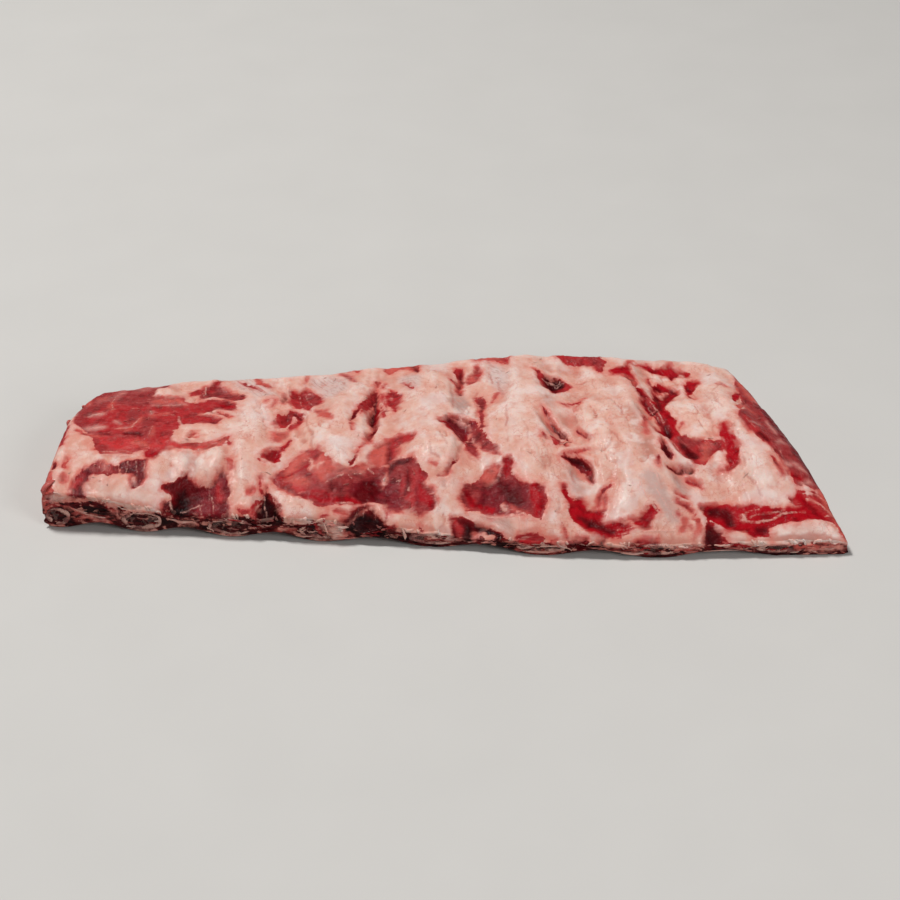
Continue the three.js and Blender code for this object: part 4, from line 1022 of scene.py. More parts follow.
# The top's relief, in mm where nothing else is said.
EDGE_WANDER = 1.1  # how far the tissues' edges wander over about 9 mm
EDGE_FRAY = 0.35  # and over about 2 mm
THREAD_WANDER, CREASE_WANDER = 0.5, 0.7
THREAD_RISE, THREAD_SOFT = 0.2, 1.4
CREASE_DEPTH, CREASE_SOFT = 0.5, 2.4
VEIL_SMOOTHS = 0.7  # share of the fat's own relief that a film hides
FOLD_RISE = 1.7  # the fat's broad folds
LUMP_LEAST, LUMP_MORE = 0.05, 0.26  # its lumps where it is smooth, and what is added where it is crumpled
SEAM_DEPTH, SEAM_WIDTH = 0.7, 0.07  # the seams between its folds; their width is in steps of the noise
LIP_RISE, LIP_BEYOND, LIP_WIDTH = 0.2, 1.4, 1.2  # the fat's lip, and how far from the lean it lies
GRAIN_LEAST, GRAIN_MORE, GRAIN_FINEST = 0.05, 0.07, 0.03
STRIPE_RISE, STRIPE_LENGTH = 0.12, 0.75  # silverskin's stripes
TORN_COARSE, TORN_FINE = 0.35, 0.3  # how rough the lean is
WAVES_RISE = 0.7
RELIEF_AT_RIM = 0.45  # share of the relief that is left at the rim
RELIEF_FULL_IN = 8  # how far in from the rim all of it is there
RIM_RAGGED, RIM_RAGGED_OVER = 0.8, 12  # how uneven the rim is beside the sawn edge, and how far in
ROLL_DEPTH, ROLL_UNEVEN = 1.6, 0.9  # how far the top drops at the sawn edge, and how much that varies
LEAST_SHARE = 0.6  # the skin's least thickness as a share of the solid's

# The wall and the underside.
ROUND, HALF_SQUARE, SQUARE = 2.2, 6, 26  # powers that shape the wall: ends, sawn face above, sawn face below
WALL_RAGGED, WALL_FRAY = 0.5, 0.3  # how uneven the wall is (mm)
WALL_OUT_MOST = 0.4  # the most that it stands out by that (mm)
END_RAGGED = 0.7  # the share of that at the other three edges
COVER_SOFT = 0.8  # over how many mm the flesh over the bones fades out
MEMBRANE_IN = 9  # how far in from the rim the membrane stands off by its full thickness (mm)
MEMBRANE_MEAN, MEMBRANE_UNEVEN = 0.5, 0.5  # that thickness and how much it varies (mm)
FACE_FAT_TO, END_FAT_TO = 0.15, 0.35  # share of the height that is fat at the sawn face and the other edges
FACE_OVERHANG, END_OVERHANG = 2.6, 7  # how far the top's tissues hang over those edges (mm)
UNDER_LEAN_FROM = 0.62  # how far into a gap between ribs the underside turns into lean, from 0 to 1
# CUT_LEAN, the sawn face's lean, is dark: partly its own colour, partly painted shade.
CUT_LEAN, END_LEAN, UNDER_LEAN = (70, 10, 14), (128, 36, 40), (166, 92, 86)
UNDER_FAT = (222, 184, 172)
UNDER_SILVER = 0.75  # how strongly silverskin's stripes show on the membrane


def grid(count_s, count_t):
    """Plan positions of a grid that ends RIM_IN short of the outline, with their shares t."""
    s = np.linspace(0, 1, count_s)[:, None] * np.ones((1, count_t))
    t = np.ones((count_s, 1)) * np.linspace(0, 1, count_t)[None, :]
    x, y = plan(s, t)
    depth = spine_y(x) - sawn_y(x)
    width = right_x(t) - left_x(t)
    s = mix(RIM_IN / width, 1 - RIM_IN / width, s)
    t = mix(RIM_IN / depth, 1 - RIM_IN / depth, t)
    x, y = plan(s, t)
    return x, y, t


def strayed(x, y, far, size, seed):
    """The points moved by up to far mm, so that what is laid by them wanders."""
    return x + far * noise(x, y, size, seed), y + far * noise(x, y, size, seed + 1)


def surface(x, y):
    """The top's relief and tissues at each point."""
    warp_x = x + EDGE_WANDER * rough(x, y, 9, 11) + EDGE_FRAY * noise(x, y, 2.4, 15)
    warp_y = y + EDGE_WANDER * rough(x, y, 9, 21) + EDGE_FRAY * noise(x, y, 2.4, 25)
    lean, lean_colour, fat_colour, silver, veil, laid = paint(warp_x, warp_y, PAINT)
    thread = strands(*strayed(x, y, THREAD_WANDER, 5, 31), THREADS)
    crease = strands(*strayed(x, y, CREASE_WANDER, 6, 33), CREASES)
    fatty = smooth(0.5 - lean / 2)
    plump = (1 - silver) * (1 - VEIL_SMOOTHS * veil) * fatty
    folds = FOLD_RISE * (0.5 - abs(rough(x + 0.25 * y, 0.4 * y, 17, 41, 2)))
    crumpled = smooth(0.2 + 1.2 * noise(x, y, 26, 47))
    lobes = pillows(x + 1.5 * noise(x, y, 5, 44), 0.6 * y, 5.5, 45)
    lumps = (LUMP_LEAST + LUMP_MORE * crumpled) * (lobes - 0.6)
    seam = rough(x + 0.45 * y, 0.35 * y - 0.15 * x, 12, 49, 3)
    seams = -SEAM_DEPTH * np.exp(-(seam / SEAM_WIDTH) ** 2) * smooth(0.4 + 1.5 * noise(x, y, 19, 53))
    lip = LIP_RISE * np.exp(-((lean + LIP_BEYOND) / LIP_WIDTH) ** 2)
    grain = (GRAIN_LEAST + GRAIN_MORE * crumpled) * rough(x, 0.6 * y, 3.2, 51)
    fine = grain + GRAIN_FINEST * noise(x, y, 1.5, 55)
    striped = STRIPE_RISE * np.sin((x + y) / STRIPE_LENGTH + 2.5 * noise(x, y, 7, 61)) * silver
    tears = TORN_COARSE * rough(x + 0.5 * y, (y - 0.5 * x) * 2, 5, 71) + TORN_FINE * noise(x, y, 2.6, 75)
    torn = tears * (1 - fatty)
    relief = laid + plump * (lumps + folds + seams) + lip + fine + striped + torn
    raised = THREAD_RISE * smooth(0.5 + thread / THREAD_SOFT)
    relief += raised - CREASE_DEPTH * smooth(0.5 + crease / CREASE_SOFT)
    relief += WAVES_RISE * rough(x, y, 22, 81, 2)
    return relief, lean, lean_colour, fat_colour, silver, veil, thread, crease


def blurred(field, reach):
    """A grid's values averaged over a square of points round each."""
    share = np.ones(2 * reach + 1) / (2 * reach + 1)
    for axis in (0, 1):
        field = np.apply_along_axis(
            lambda line: np.convolve(np.pad(line, reach, "edge"), share, "valid"), axis, field)
    return field


def loop_of(count_s, count_t):
    """Grid indices round the border of a grid: near edge, right end, far edge, left end."""
    near = [(i, 0) for i in range(count_s - 1)]
    right = [(count_s - 1, j) for j in range(count_t - 1)]
    far = [(i, count_t - 1) for i in range(count_s - 1, 0, -1)]
    left = [(0, j) for j in range(count_t - 1, 0, -1)]
    return np.array(near + right + far + left)


def new_mesh(name, points, faces, values=None, colours=None):
    mesh = bpy.data.meshes.new(name)
    mesh.from_pydata((np.asarray(points) * MM).tolist(), [], faces)
    for key, value in (values or {}).items():
        mesh.attributes.new(key, "FLOAT", "POINT").data.foreach_set("value", value.astype(np.float32))
    for key, value in (colours or {}).items():
        rgba = np.c_[value, np.ones(len(value))].astype(np.float32)
        mesh.color_attributes.new(key, "FLOAT_COLOR", "POINT").data.foreach_set("color", rgba.ravel())
    mesh.polygons.foreach_set("use_smooth", [True] * len(mesh.polygons))
    mesh.update()
    piece = bpy.data.objects.new(name, mesh)
    bpy.context.collection.objects.link(piece)
    return piece


def quads(rows, columns, start=0, closed=False):
    """Faces of a grid of points that are numbered row by row."""
    wrap = columns if closed else columns - 1
    i, j = np.meshgrid(np.arange(rows - 1), np.arange(wrap), indexing="ij")
    a = start + i * columns + j
    b = start + i * columns + (j + 1) % columns
    return np.stack([a, a + columns, b + columns, b], -1).reshape(-1, 4)


def build_flesh():
    x, y, t = grid(ALONG, ACROSS)
    top, bottom = heights(x, y, t)
    relief, lean, lean_colour, fat_colour, silver, veil, thread, crease = surface(x.ravel(), y.ravel())
    relief = relief.reshape(x.shape)
    from_other_rims = np.minimum.reduce([spine_y(x) - y, x - left_x(t), right_x(t) - x])
    from_rim = np.minimum(y - sawn_y(x), from_other_rims)
    ragged_rim = RIM_RAGGED * rough(x, y, 13, 85) * (1 - smooth(from_other_rims / RIM_RAGGED_OVER))
    dropped = ROLL_DEPTH + ROLL_UNEVEN * noise(x, y, 6, 87)
    roll_off = dropped * clamp01(1 - (y - sawn_y(x)) / ROLL_OVER) ** 2
    in_full = smooth(from_rim / RELIEF_FULL_IN)
    top_surface = top + relief * mix(RELIEF_AT_RIM, 1, in_full) + ragged_rim - roll_off
    top_surface = np.clip(top_surface, bottom + THINNEST * LEAST_SHARE, CAD_BOX[1][2] / MM - LIFT)
    level = top_surface + roll_off
    # How far each point lies above or below the top round it; the material paints shade in the hollows and a
    # highlight on the rises from it.
    hollow = (level - blurred(level, BLUR_REACH)) / HOLLOW_DEPTH
    hollow = np.clip(hollow, -HOLLOW_MOST, HOLLOW_MOST).ravel()

    # Border of the top's grid, and where the underside's border lies below it.
    ring = loop_of(ALONG, ACROSS)
    ri, rj = ring[:, 0], ring[:, 1]
    rx, ry, rt = x[ri, rj], y[ri, rj], t[ri, rj]
    rim_top = top_surface[ri, rj]
    sawn = (rj == 0).astype(float)
    rim_bottom = heights(rx, ry, rt)[1] - sawn * (arch_z(rx, rt) + FOOT_DROP)
    step_x, step_y = np.roll(rx, -1) - np.roll(rx, 1), np.roll(ry, -1) - np.roll(ry, 1)
    length = np.hypot(step_x, step_y)
    out_x, out_y = step_y / length, -step_x / length

    # The wall: out from the top's border, down, and back in to the underside's.
    even = np.linspace(0, 1, WALL_ROWS + 2)[1:-1]
    down = mix(even, 0.5 - 0.5 * np.cos(np.pi * even), 0.5)
    rows = []
    for share in down:
        squareness = mix(ROUND, HALF_SQUARE if share < 0.5 else SQUARE, sawn)
        bulge = 1 - abs(2 * share - 1) ** squareness
        z = np.maximum(mix(rim_top, rim_bottom, share), LOWEST)
        ragged = WALL_RAGGED * rough(rx + 0.6 * ry, z * 1.6, 4.5, 91)
        ragged = ragged + WALL_FRAY * noise(rx + ry, z * 1.5, 1.6, 95)
        covered = strands(rx + 0.6 * noise(rx, z, 3, 97), z, COVERS)
        over_bone = sawn * smooth(0.5 + covered / COVER_SOFT)
        inset = mix(mix(END_INSET, FLESH_INSET, sawn), COVER_INSET, over_bone)
        inset = inset + np.maximum(ragged, -WALL_OUT_MOST) * mix(END_RAGGED, 1, sawn)
        foot = sawn * smooth(BONE_COVER_BELOW + FOOT_OVER - (z - rim_bottom))
        inset = mix(inset, FOOT_INSET, foot)
        reach = (RIM_IN - np.maximum(inset, COVER_INSET)) * bulge
        rows.append((rx + out_x * reach, ry + out_y * reach, z))
    wall = [np.stack(row, -1) for row in rows]

    # The underside: membrane over the ribs.
    under_s, under_t = (ALONG - 1) // UNDER_STEP + 1, (ACROSS - 1) // UNDER_STEP + 1
    bx, by, bt = grid(under_s, under_t)
    _, under = heights(bx, by, bt)
    from_rim = np.minimum.reduce([by - sawn_y(bx), spine_y(bx) - by, bx - left_x(bt), right_x(bt) - bx])
    membrane = MEMBRANE_MEAN + MEMBRANE_UNEVEN * rough(bx, by * 0.5, 14, 101)
    under = np.maximum(under + smooth(from_rim / MEMBRANE_IN) * membrane, LOWEST)

    points = np.concatenate([
        np.stack([x, y, top_surface], -1).reshape(-1, 3), *wall, np.stack([bx, by, under], -1).reshape(-1, 3)
    ])
    ring_top = ri * ACROSS + rj
    wall_start = ALONG * ACROSS
    loops = [ring_top] + [wall_start + k * len(ring) + np.arange(len(ring)) for k in range(WALL_ROWS)]
    under_start = wall_start + WALL_ROWS * len(ring)
    faces = [f.tolist() for f in quads(ALONG, ACROSS)]
    for upper, lower in zip(loops, loops[1:]):
        nu, nl = np.roll(upper, -1), np.roll(lower, -1)
        faces += np.stack([upper, lower, nl, nu], -1).tolist()
    below = quads(under_s, under_t, under_start)[:, ::-1]
    faces += below.tolist()
    under_ring = loop_of(under_s, under_t)
    under_ring = under_start + under_ring[:, 0] * under_t + under_ring[:, 1]
    last = loops[-1]
    for k in range(len(under_ring)):
        fine = [int(last[(k * UNDER_STEP + q) % len(last)]) for q in range(UNDER_STEP + 1)]
        faces.append(fine[::-1] + [int(under_ring[k]), int(under_ring[(k + 1) % len(under_ring)])])

    # Tissues of the wall and the underside.
    wx, wy, wz = np.concatenate(wall).T
    share_down = np.repeat(down, len(ring))
    on_sawn = np.tile(sawn, WALL_ROWS)
    face_x = wx + 0.8 * rough(wx, wz, 5, 111)
    face_z = wz + 0.6 * rough(wx, wz, 4, 121)
    around = wx + 0.8 * wy
    face_base = 9 * (share_down - FACE_FAT_TO) + 1.4 * rough(wx, wz * 2, 6, 125)
    face_lean, face_lc, face_fc, face_silver, _, _ = paint(face_x, face_z, FACE_PAINT, face_base, CUT_LEAN)
    end_lean = 2.2 * rough(around, wz * 1.5, 12, 131) + 5 * (share_down - END_FAT_TO)
    wall_lean = np.where(on_sawn > 0, face_lean, end_lean)
    below_edge = share_down * np.tile(rim_top - rim_bottom, WALL_ROWS)
    overhang = mix(END_OVERHANG, FACE_OVERHANG, on_sawn) + 2.5 * rough(around, wz * 0.5, 6, 127)
    keep = smooth(1 - below_edge / np.maximum(overhang, 1))
    wall_lean = mix(wall_lean, np.tile(lean[ring_top], WALL_ROWS), keep)
    carried_lc = np.tile(lean_colour[ring_top], (WALL_ROWS, 1))
    carried_fc = np.tile(fat_colour[ring_top], (WALL_ROWS, 1))
    cut = on_sawn * (1 - keep)
    keep = keep[:, None]
    end_lc = np.tile(linear(END_LEAN), (len(wx), 1))
    wall_lc = mix(np.where(on_sawn[:, None] > 0, face_lc, end_lc), carried_lc, keep)
    wall_fc = mix(face_fc, carried_fc, keep)
    ux, uy = bx.ravel(), by.ravel()
    gap = between_ribs(ux, bt.ravel(), [1] * len(RIBS))
    under_lean = 5 * (gap - UNDER_LEAN_FROM) + 1.8 * rough(ux, uy, 16, 141)
    by_cut = smooth(1 - (by - sawn_y(bx)).ravel() / CUT_SHADE_OVER)
    under_lean = under_lean + 9 * by_cut
    under_lc = mix(linear(UNDER_LEAN), linear(CUT_LEAN), by_cut[:, None])
    under_fc = np.tile(linear(UNDER_FAT), (len(ux), 1))
    bare = np.full(len(wx) + len(ux), -REACH)
    values = {
        "lean": np.concatenate([lean, wall_lean, under_lean]),
        "silver": np.concatenate([silver, face_silver * on_sawn, np.full(len(ux), UNDER_SILVER)]),
        "veil": np.concatenate([veil, np.zeros(len(bare))]),
        "thread": np.concatenate([thread, bare]),
        "crease": np.concatenate([crease, bare]),
        "cut": np.concatenate([np.zeros(len(lean)), cut, np.zeros(len(ux))]),
        "hollow": np.concatenate([hollow, np.zeros(len(bare))]),
    }
    colours = {
        "lean_colour": np.concatenate([lean_colour, wall_lc, under_lc]),
        "fat_colour": np.concatenate([fat_colour, wall_fc, under_fc]),
    }
    return new_mesh("flesh_skin", points, faces, values, colours)


# ---------------------------------------------------------------- shreds and threads that stand proud

SHRED_SIDES = 6  # points round a shred
SHRED_STEPS = 9  # sections along it
SHRED_INSET = 0.1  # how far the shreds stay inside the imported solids' box (mm)
SHREDS_ON_FACE = 190
SHREDS_ON_RIM = 80
TAGS_ON_TOP = 60
SHRED_SEED = 77
SHRED_DEEP = 4  # how far into lean, or into fat, a shred counts as lying (mm)
SHRED_RAISED = 0.4  # how much it counts as raised, which gives it the painted highlight of a rise
SHRED_COLOURS = {
    "pale": (-SHRED_DEEP, (226, 176, 162)),
    "pink": (-SHRED_DEEP, (206, 132, 120)),
    "red": (SHRED_DEEP, (150, 24, 30)),
    "dark": (SHRED_DEEP, (70, 8, 12)),
    "rose": (SHRED_DEEP, (190, 96, 90)),
}
SCATTERED = ["pale", "pink", "red", "dark"]  # the kinds that are drawn by chance


def bezier(points, steps):
    """Points along a smooth line from the first point to the last that bends towards those between."""
    at = np.array(points, float)
    out = []
    for q in np.linspace(0, 1, steps):
        level = at
        while len(level) > 1:
            level = level[:-1] * (1 - q) + level[1:] * q
        out.append(level[0])
    return np.array(out)


def band(path, normals, radii, flat):
    """A tapered band along a path, flattened against the surface: its points and faces."""
    steps = len(path)
    along = np.gradient(path, axis=0)
    aside = np.cross(along, normals)
    aside /= np.linalg.norm(aside, axis=1)[:, None] + 1e-9
    angle = np.linspace(0, 2 * math.pi, SHRED_SIDES, endpoint=False)
    rings = [
        p + r * (np.cos(angle)[:, None] * a + flat * np.sin(angle)[:, None] * n)
        for p, a, n, r in zip(path, aside, normals, radii)
    ]
    faces = quads(steps, SHRED_SIDES, closed=True).tolist()
    faces.append(list(range(SHRED_SIDES)))
    faces.append(list(range((steps - 1) * SHRED_SIDES, steps * SHRED_SIDES))[::-1])
    return np.concatenate(rings), faces


class Ground:
    """The surface of some pieces together, in millimetres, with the tissues of the first of them."""

    def __init__(self, pieces):
        points, faces = [], []
        for piece in pieces:
            start = len(points)
            points += [v.co / MM for v in piece.data.vertices]
            faces += [[start + i for i in face.vertices] for face in piece.data.polygons]
        self.tree = BVHTree.FromPolygons(points, faces)
        self.faces = faces
        mesh = pieces[0].data
        self.lean = read_attribute(mesh, "lean", "value", 1)[:, 0]
        self.colours = [read_attribute(mesh, key, "color", 4)[:, :3] for key in ("lean_colour", "fat_colour")]

    def lay(self, points, radius, flat, lift):
        """A band on the ground: its path drops onto the surface, sunk at both ends and lifted between.
        Returns its points and faces, and the first piece's point below its middle."""
        path, normals, below = [], [], []
        for point in bezier(points, SHRED_STEPS):
            place, normal, face, _ = self.tree.find_nearest(Vector(point))
            path.append(place)
            normals.append(normal)
            below.append(self.faces[face][0])
        path, normals = np.array(path), np.array(normals)
        hump = np.sin(np.linspace(0, math.pi, SHRED_STEPS))
        taper = radius * (0.25 + 0.75 * hump ** 0.6)
        path = path + normals * (mix(-0.5 * radius, lift, hump)[:, None])
        middle = below[SHRED_STEPS // 2]
        return *band(path, normals, taper, flat), (middle if middle < len(self.lean) else None)


def read_attribute(mesh, name, field, width):
    values = np.empty(len(mesh.vertices) * width, np.float32)
    mesh.attributes[name].data.foreach_get(field, values)
    return values.reshape(-1, width).astype(float)


def face_shreds(rng):
    """Torn strips across the sawn face, mostly level."""
    for _ in range(SHREDS_ON_FACE):
        x, share = rng.uniform(-222, 222), rng.uniform(0.1, 0.95)
        foot = float(bottom_z(np.array(x), 0.0))
        z = mix(foot, float(sawn_top(x)), share)
        reach, turn = rng.uniform(1.5, 7) * rng.uniform(0.4, 1), rng.normal(0, 0.3)
        kind = rng.choice(SCATTERED, p=[0.3, 0.25, 0.25, 0.2])
        radius, bend = rng.uniform(0.2, 0.6), rng.normal(0, 0.8)
        level, rise = reach * math.cos(turn), reach * math.sin(turn) * 0.5
        y = float(sawn_y(x))
        points = [(x - level, y, z - rise), (x, y, z + bend), (x + level, y, z + rise)]
        yield points, radius, 0.5, 0.2, kind, 0.4


def rim_shreds(rng):
    """Strips that hang over the sawn edge from the top."""
    for _ in range(SHREDS_ON_RIM):
        x, length = rng.uniform(-222, 222), rng.uniform(0.8, 2.6)
        y, z = float(sawn_y(x)), float(sawn_top(x))
        kind = rng.choice(SCATTERED, p=[0.4, 0.35, 0.25, 0])
        drift, radius = rng.normal(0, 1.8), rng.uniform(0.4, 1.1)
        points = [(x - drift, y + length, z + 1), (x, y, z + 0.5), (x + drift, y, z - length)]
        yield points, radius, 0.4, 0.25, kind, 0.15


def top_tags(rng):
    """Small tags of fat and lean that stand up on the top."""
    for _ in range(TAGS_ON_TOP):
        s, t, turn = rng.uniform(0.02, 0.98), rng.uniform(0.03, 0.97), rng.uniform(0, math.pi)
        x, y = plan(s, t)
        kind = rng.choice(SCATTERED, p=[0.6, 0.4, 0, 0])
        reach, radius = rng.uniform(0.8, 2.4), rng.uniform(0.2, 0.45)
        dx, dy = reach * math.cos(turn), reach * math.sin(turn)
        z = float(crest_top(x))
        points = [(x - dx, y - dy, z), (x + 0.4 * dy, y - 0.4 * dx, z), (x + dx, y + dy, z)]
        yield points, radius, 0.6, 0.3, kind, 0.2


# Strips listed one by one: kind, half width, flatness, lift, then the path's points (mm).
STRIPS = [
    ("rose", 1.3, 0.7, 0.6, [(-222, -12, 26), (-225, -15, 28), (-225, -19, 29)]),
    ("rose", 0.9, 0.7, 0.5, [(-219, 4, 27), (-223, 6, 27), (-224, 5, 25)]),
    ("rose", 2.8, 0.4, 0.6, [(-219, -70, 28), (-224, -75, 26), (-226, -79, 21)]),
    ("pink", 0.9, 0.5, 0.3, [(-155, -81, 9.4), (-146, -81, 8.4), (-136, -81, 7.6)]),
    ("pink", 0.5, 0.6, 0.3, [(-206, -80, 12.5), (-198, -80, 8.6), (-188, -80, 8.2)]),
    ("pink", 0.5, 0.6, 0.3, [(-208, -80, 13.6), (-203, -80, 12), (-199, -80, 11)]),
    ("pale", 0.6, 0.6, 0.4, [(-66, -81, 13.6), (-65, -81, 9), (-63, -81, 4)]),
    ("pale", 1.0, 0.6, 0.4, [(-23, -80.5, 11), (-20, -80.5, 8), (-20.5, -80.5, 3.5)]),
    ("pale", 0.55, 0.6, 0.3, [(42, -83, 5.4), (54, -83.4, 6), (67, -83, 7)]),
    ("pink", 0.8, 0.6, 0.3, [(43, -83, 2.6), (54, -83.4, 1.6), (65, -83, 2.6)]),
    ("pale", 0.8, 0.6, 0.3, [(98, -82, 3.4), (106, -81.6, 2.6), (113, -81, 2.8)]),
    ("pale", 0.9, 0.6, 0.4, [(92, -82, 8.4), (98, -82, 8), (104, -81.8, 7.4)]),
    ("pink", 0.5, 0.6, 0.3, [(142, -78, 3.2), (154, -77, 2.4), (166, -75, 2)]),
    ("pale", 0.6, 0.6, 0.3, [(150, -78, 8), (156, -77, 7.4), (162, -76, 8)]),
    ("red", 0.6, 0.6, 0.3, [(160, -76, 8.4), (167, -75.6, 7.4), (172, -75, 5.6)]),
]


def build_shreds(ground):
    """All shreds as one mesh. One laid by a rule takes most of its colour from the tissue it lies on: own
    is the share that stays its kind's."""
    rng = np.random.default_rng(SHRED_SEED)
    jobs = [*face_shreds(rng), *rim_shreds(rng), *top_tags(rng)]
    jobs += [(points, radius, flat, lift, kind, 1.0) for kind, radius, flat, lift, points in STRIPS]
    all_points, all_faces, lean, colour, count = [], [], [], [], 0
    for points, radius, flat, lift, kind, own in jobs:
        ring_points, faces, below = ground.lay(points, radius, flat, lift)
        all_points.append(ring_points)
        all_faces += [[i + count for i in face] for face in faces]
        count += len(ring_points)
        side, shade = SHRED_COLOURS[kind]
        shade = linear(shade)
        if below is not None:
            is_fat = int(ground.lean[below] < 0)
            side = mix(-SHRED_DEEP if is_fat else SHRED_DEEP, side, own)
            shade = mix(ground.colours[is_fat][below], shade, own)
        lean += [side] * len(ring_points)
        colour += [shade] * len(ring_points)
    points = np.concatenate(all_points)
    low, high = np.array(CAD_BOX[0]) / MM + SHRED_INSET, np.array(CAD_BOX[1]) / MM - SHRED_INSET
    points = np.clip(points, low, high)
    lean, colour = np.array(lean, float), np.array(colour)
    nothing = np.full(count, -REACH)
    values = {"lean": lean, "thread": nothing, "crease": nothing, "hollow": np.full(count, SHRED_RAISED)}
    values.update({key: np.zeros(count) for key in ("silver", "veil", "cut")})
    return new_mesh("shreds", points, all_faces, values, {"lean_colour": colour, "fat_colour": colour})


# ---------------------------------------------------------------- bones and marrow

SIDES = 56  # points round a bone
ROD_STEPS = 14  # sections along it
CORE_RINGS = 9  # rings of the marrow's cut face
END_LIP = 0.35  # rounding of the sawn rim (mm)
UNEVEN = 0.05  # share by which a bone's outline wanders
WALL_MEAN = 1.2  # its wall's mean thickness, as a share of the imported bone's
WALL_UNEVEN = 0.7  # share by which that thickness wanders
INNER_BACK = (0.05, 0.6)  # how far behind the cut the wall's inner lip begins and ends (mm)
MARROW_CLEAR = 0.06  # clearance between the marrow and the wall (mm)
MARROW_BACK, MARROW_PITS, MARROW_DIPS = 0.55, 0.45, 0.25  # how far behind the cut it lies, and how unevenly
MARROW_LEAST_BACK = 0.05
FIRST_SEED, SEED_STEP = 200, 10  # one seed for each rib


def section(rib, t, angle, inset, seed):
    """A ring of a rib's rod: its oval section, a little uneven, with inset mm taken off all round."""
    sawn_x, spine_x, sawn, spine, _ = rib
    x = mix(sawn_x, spine_x, t)
    wide, thick = mix(sawn[0], spine[0], t), mix(sawn[1], spine[1], t)
    y = mix(float(sawn_y(x)), float(spine_y(x)), t)
    z = float(arch_z(np.array(x), t)) + BONE_COVER_BELOW + thick / 2
    uneven = 1 - UNEVEN * (1 + noise(3 * np.cos(angle), 3 * np.sin(angle) + 5 * t, 1.3, seed))
    px = x + np.cos(angle) * (wide / 2 * uneven - inset)
    pz = z + np.sin(angle) * (thick / 2 * uneven - inset)
    return px, np.full(angle.shape, y), pz


def to_edge(px, py, t, back):
    """Moves the end rings onto the rack's edge, back mm behind it."""
    if t == 0:
        return sawn_y(px) + back + CUT_INSET
    if t == 1:
        return spine_y(px) - back - CUT_INSET
    return py


def bone_wall(angle, seed):
    """A bone's wall thickness round it."""
    wander = noise(2.5 * np.cos(angle), 2.5 * np.sin(angle), 1, seed + 7)
    return BONE_WALL * WALL_MEAN * (1 + WALL_UNEVEN * wander)


def build_bone(rib, name, seed):
    angle = np.linspace(0, 2 * math.pi, SIDES, endpoint=False)
    wall = bone_wall(angle, seed)
    middle = np.linspace(0, 1, ROD_STEPS)[1:-1]
    outer = [(0, END_LIP, 0.0), *[(t, 0, 0.0) for t in middle], (1, END_LIP, 0.0)]
    far = [(1, 0.0, END_LIP), (1, INNER_BACK[0], 1 - END_LIP), (1, INNER_BACK[1], 1.0)]
    inner = [(t, 0, 1.0) for t in middle[::-1]]
    near = [(0, back, share) for _, back, share in far[::-1]]
    rings = []
    for t, back, share in outer + far + inner + near:
        px, py, pz = section(rib, t, angle, wall * share, seed)
        rings.append(np.stack([px, to_edge(px, py, t, back), pz], -1))
    faces = quads(len(rings) + 1, SIDES, closed=True) % (len(rings) * SIDES)
    return new_mesh(name, np.concatenate(rings), faces.tolist())


def build_marrow(rib, name, seed):
    angle = np.linspace(0, 2 * math.pi, SIDES, endpoint=False)
    wall = bone_wall(angle, seed) + MARROW_CLEAR
    cut = np.linspace(0, 1, CORE_RINGS + 1)[1:]
    steps = [(0, r) for r in cut] + [(t, 1) for t in np.linspace(0, 1, ROD_STEPS)[1:-1]]
    steps += [(1, r) for r in cut[::-1]]
    points = []
    for t, radius in steps:
        px, py, pz = section(rib, t, angle, wall, seed)
        cx, cz = px.mean(), pz.mean()
        px, pz = mix(cx, px, radius), mix(cz, pz, radius)
        back = MARROW_BACK + MARROW_PITS * noise(px, pz, 1.1, seed + 3)
        back = back + MARROW_DIPS * noise(px, pz, 2.6, seed + 4)
        points.append(np.stack([px, to_edge(px, py, t, np.maximum(back, MARROW_LEAST_BACK)), pz], -1))
    faces = quads(len(points), SIDES, closed=True).tolist()
    flat = np.concatenate(points)
    count = len(flat)
    first, last = points[0].mean(0), points[-1].mean(0)
    final = count - SIDES
    for k in range(SIDES):
        n = (k + 1) % SIDES
        faces.append([count, k, n])
        faces.append([count + 1, final + n, final + k])
    return new_mesh(name, np.vstack([flat, first, last]), faces)


# ---------------------------------------------------------------- materials


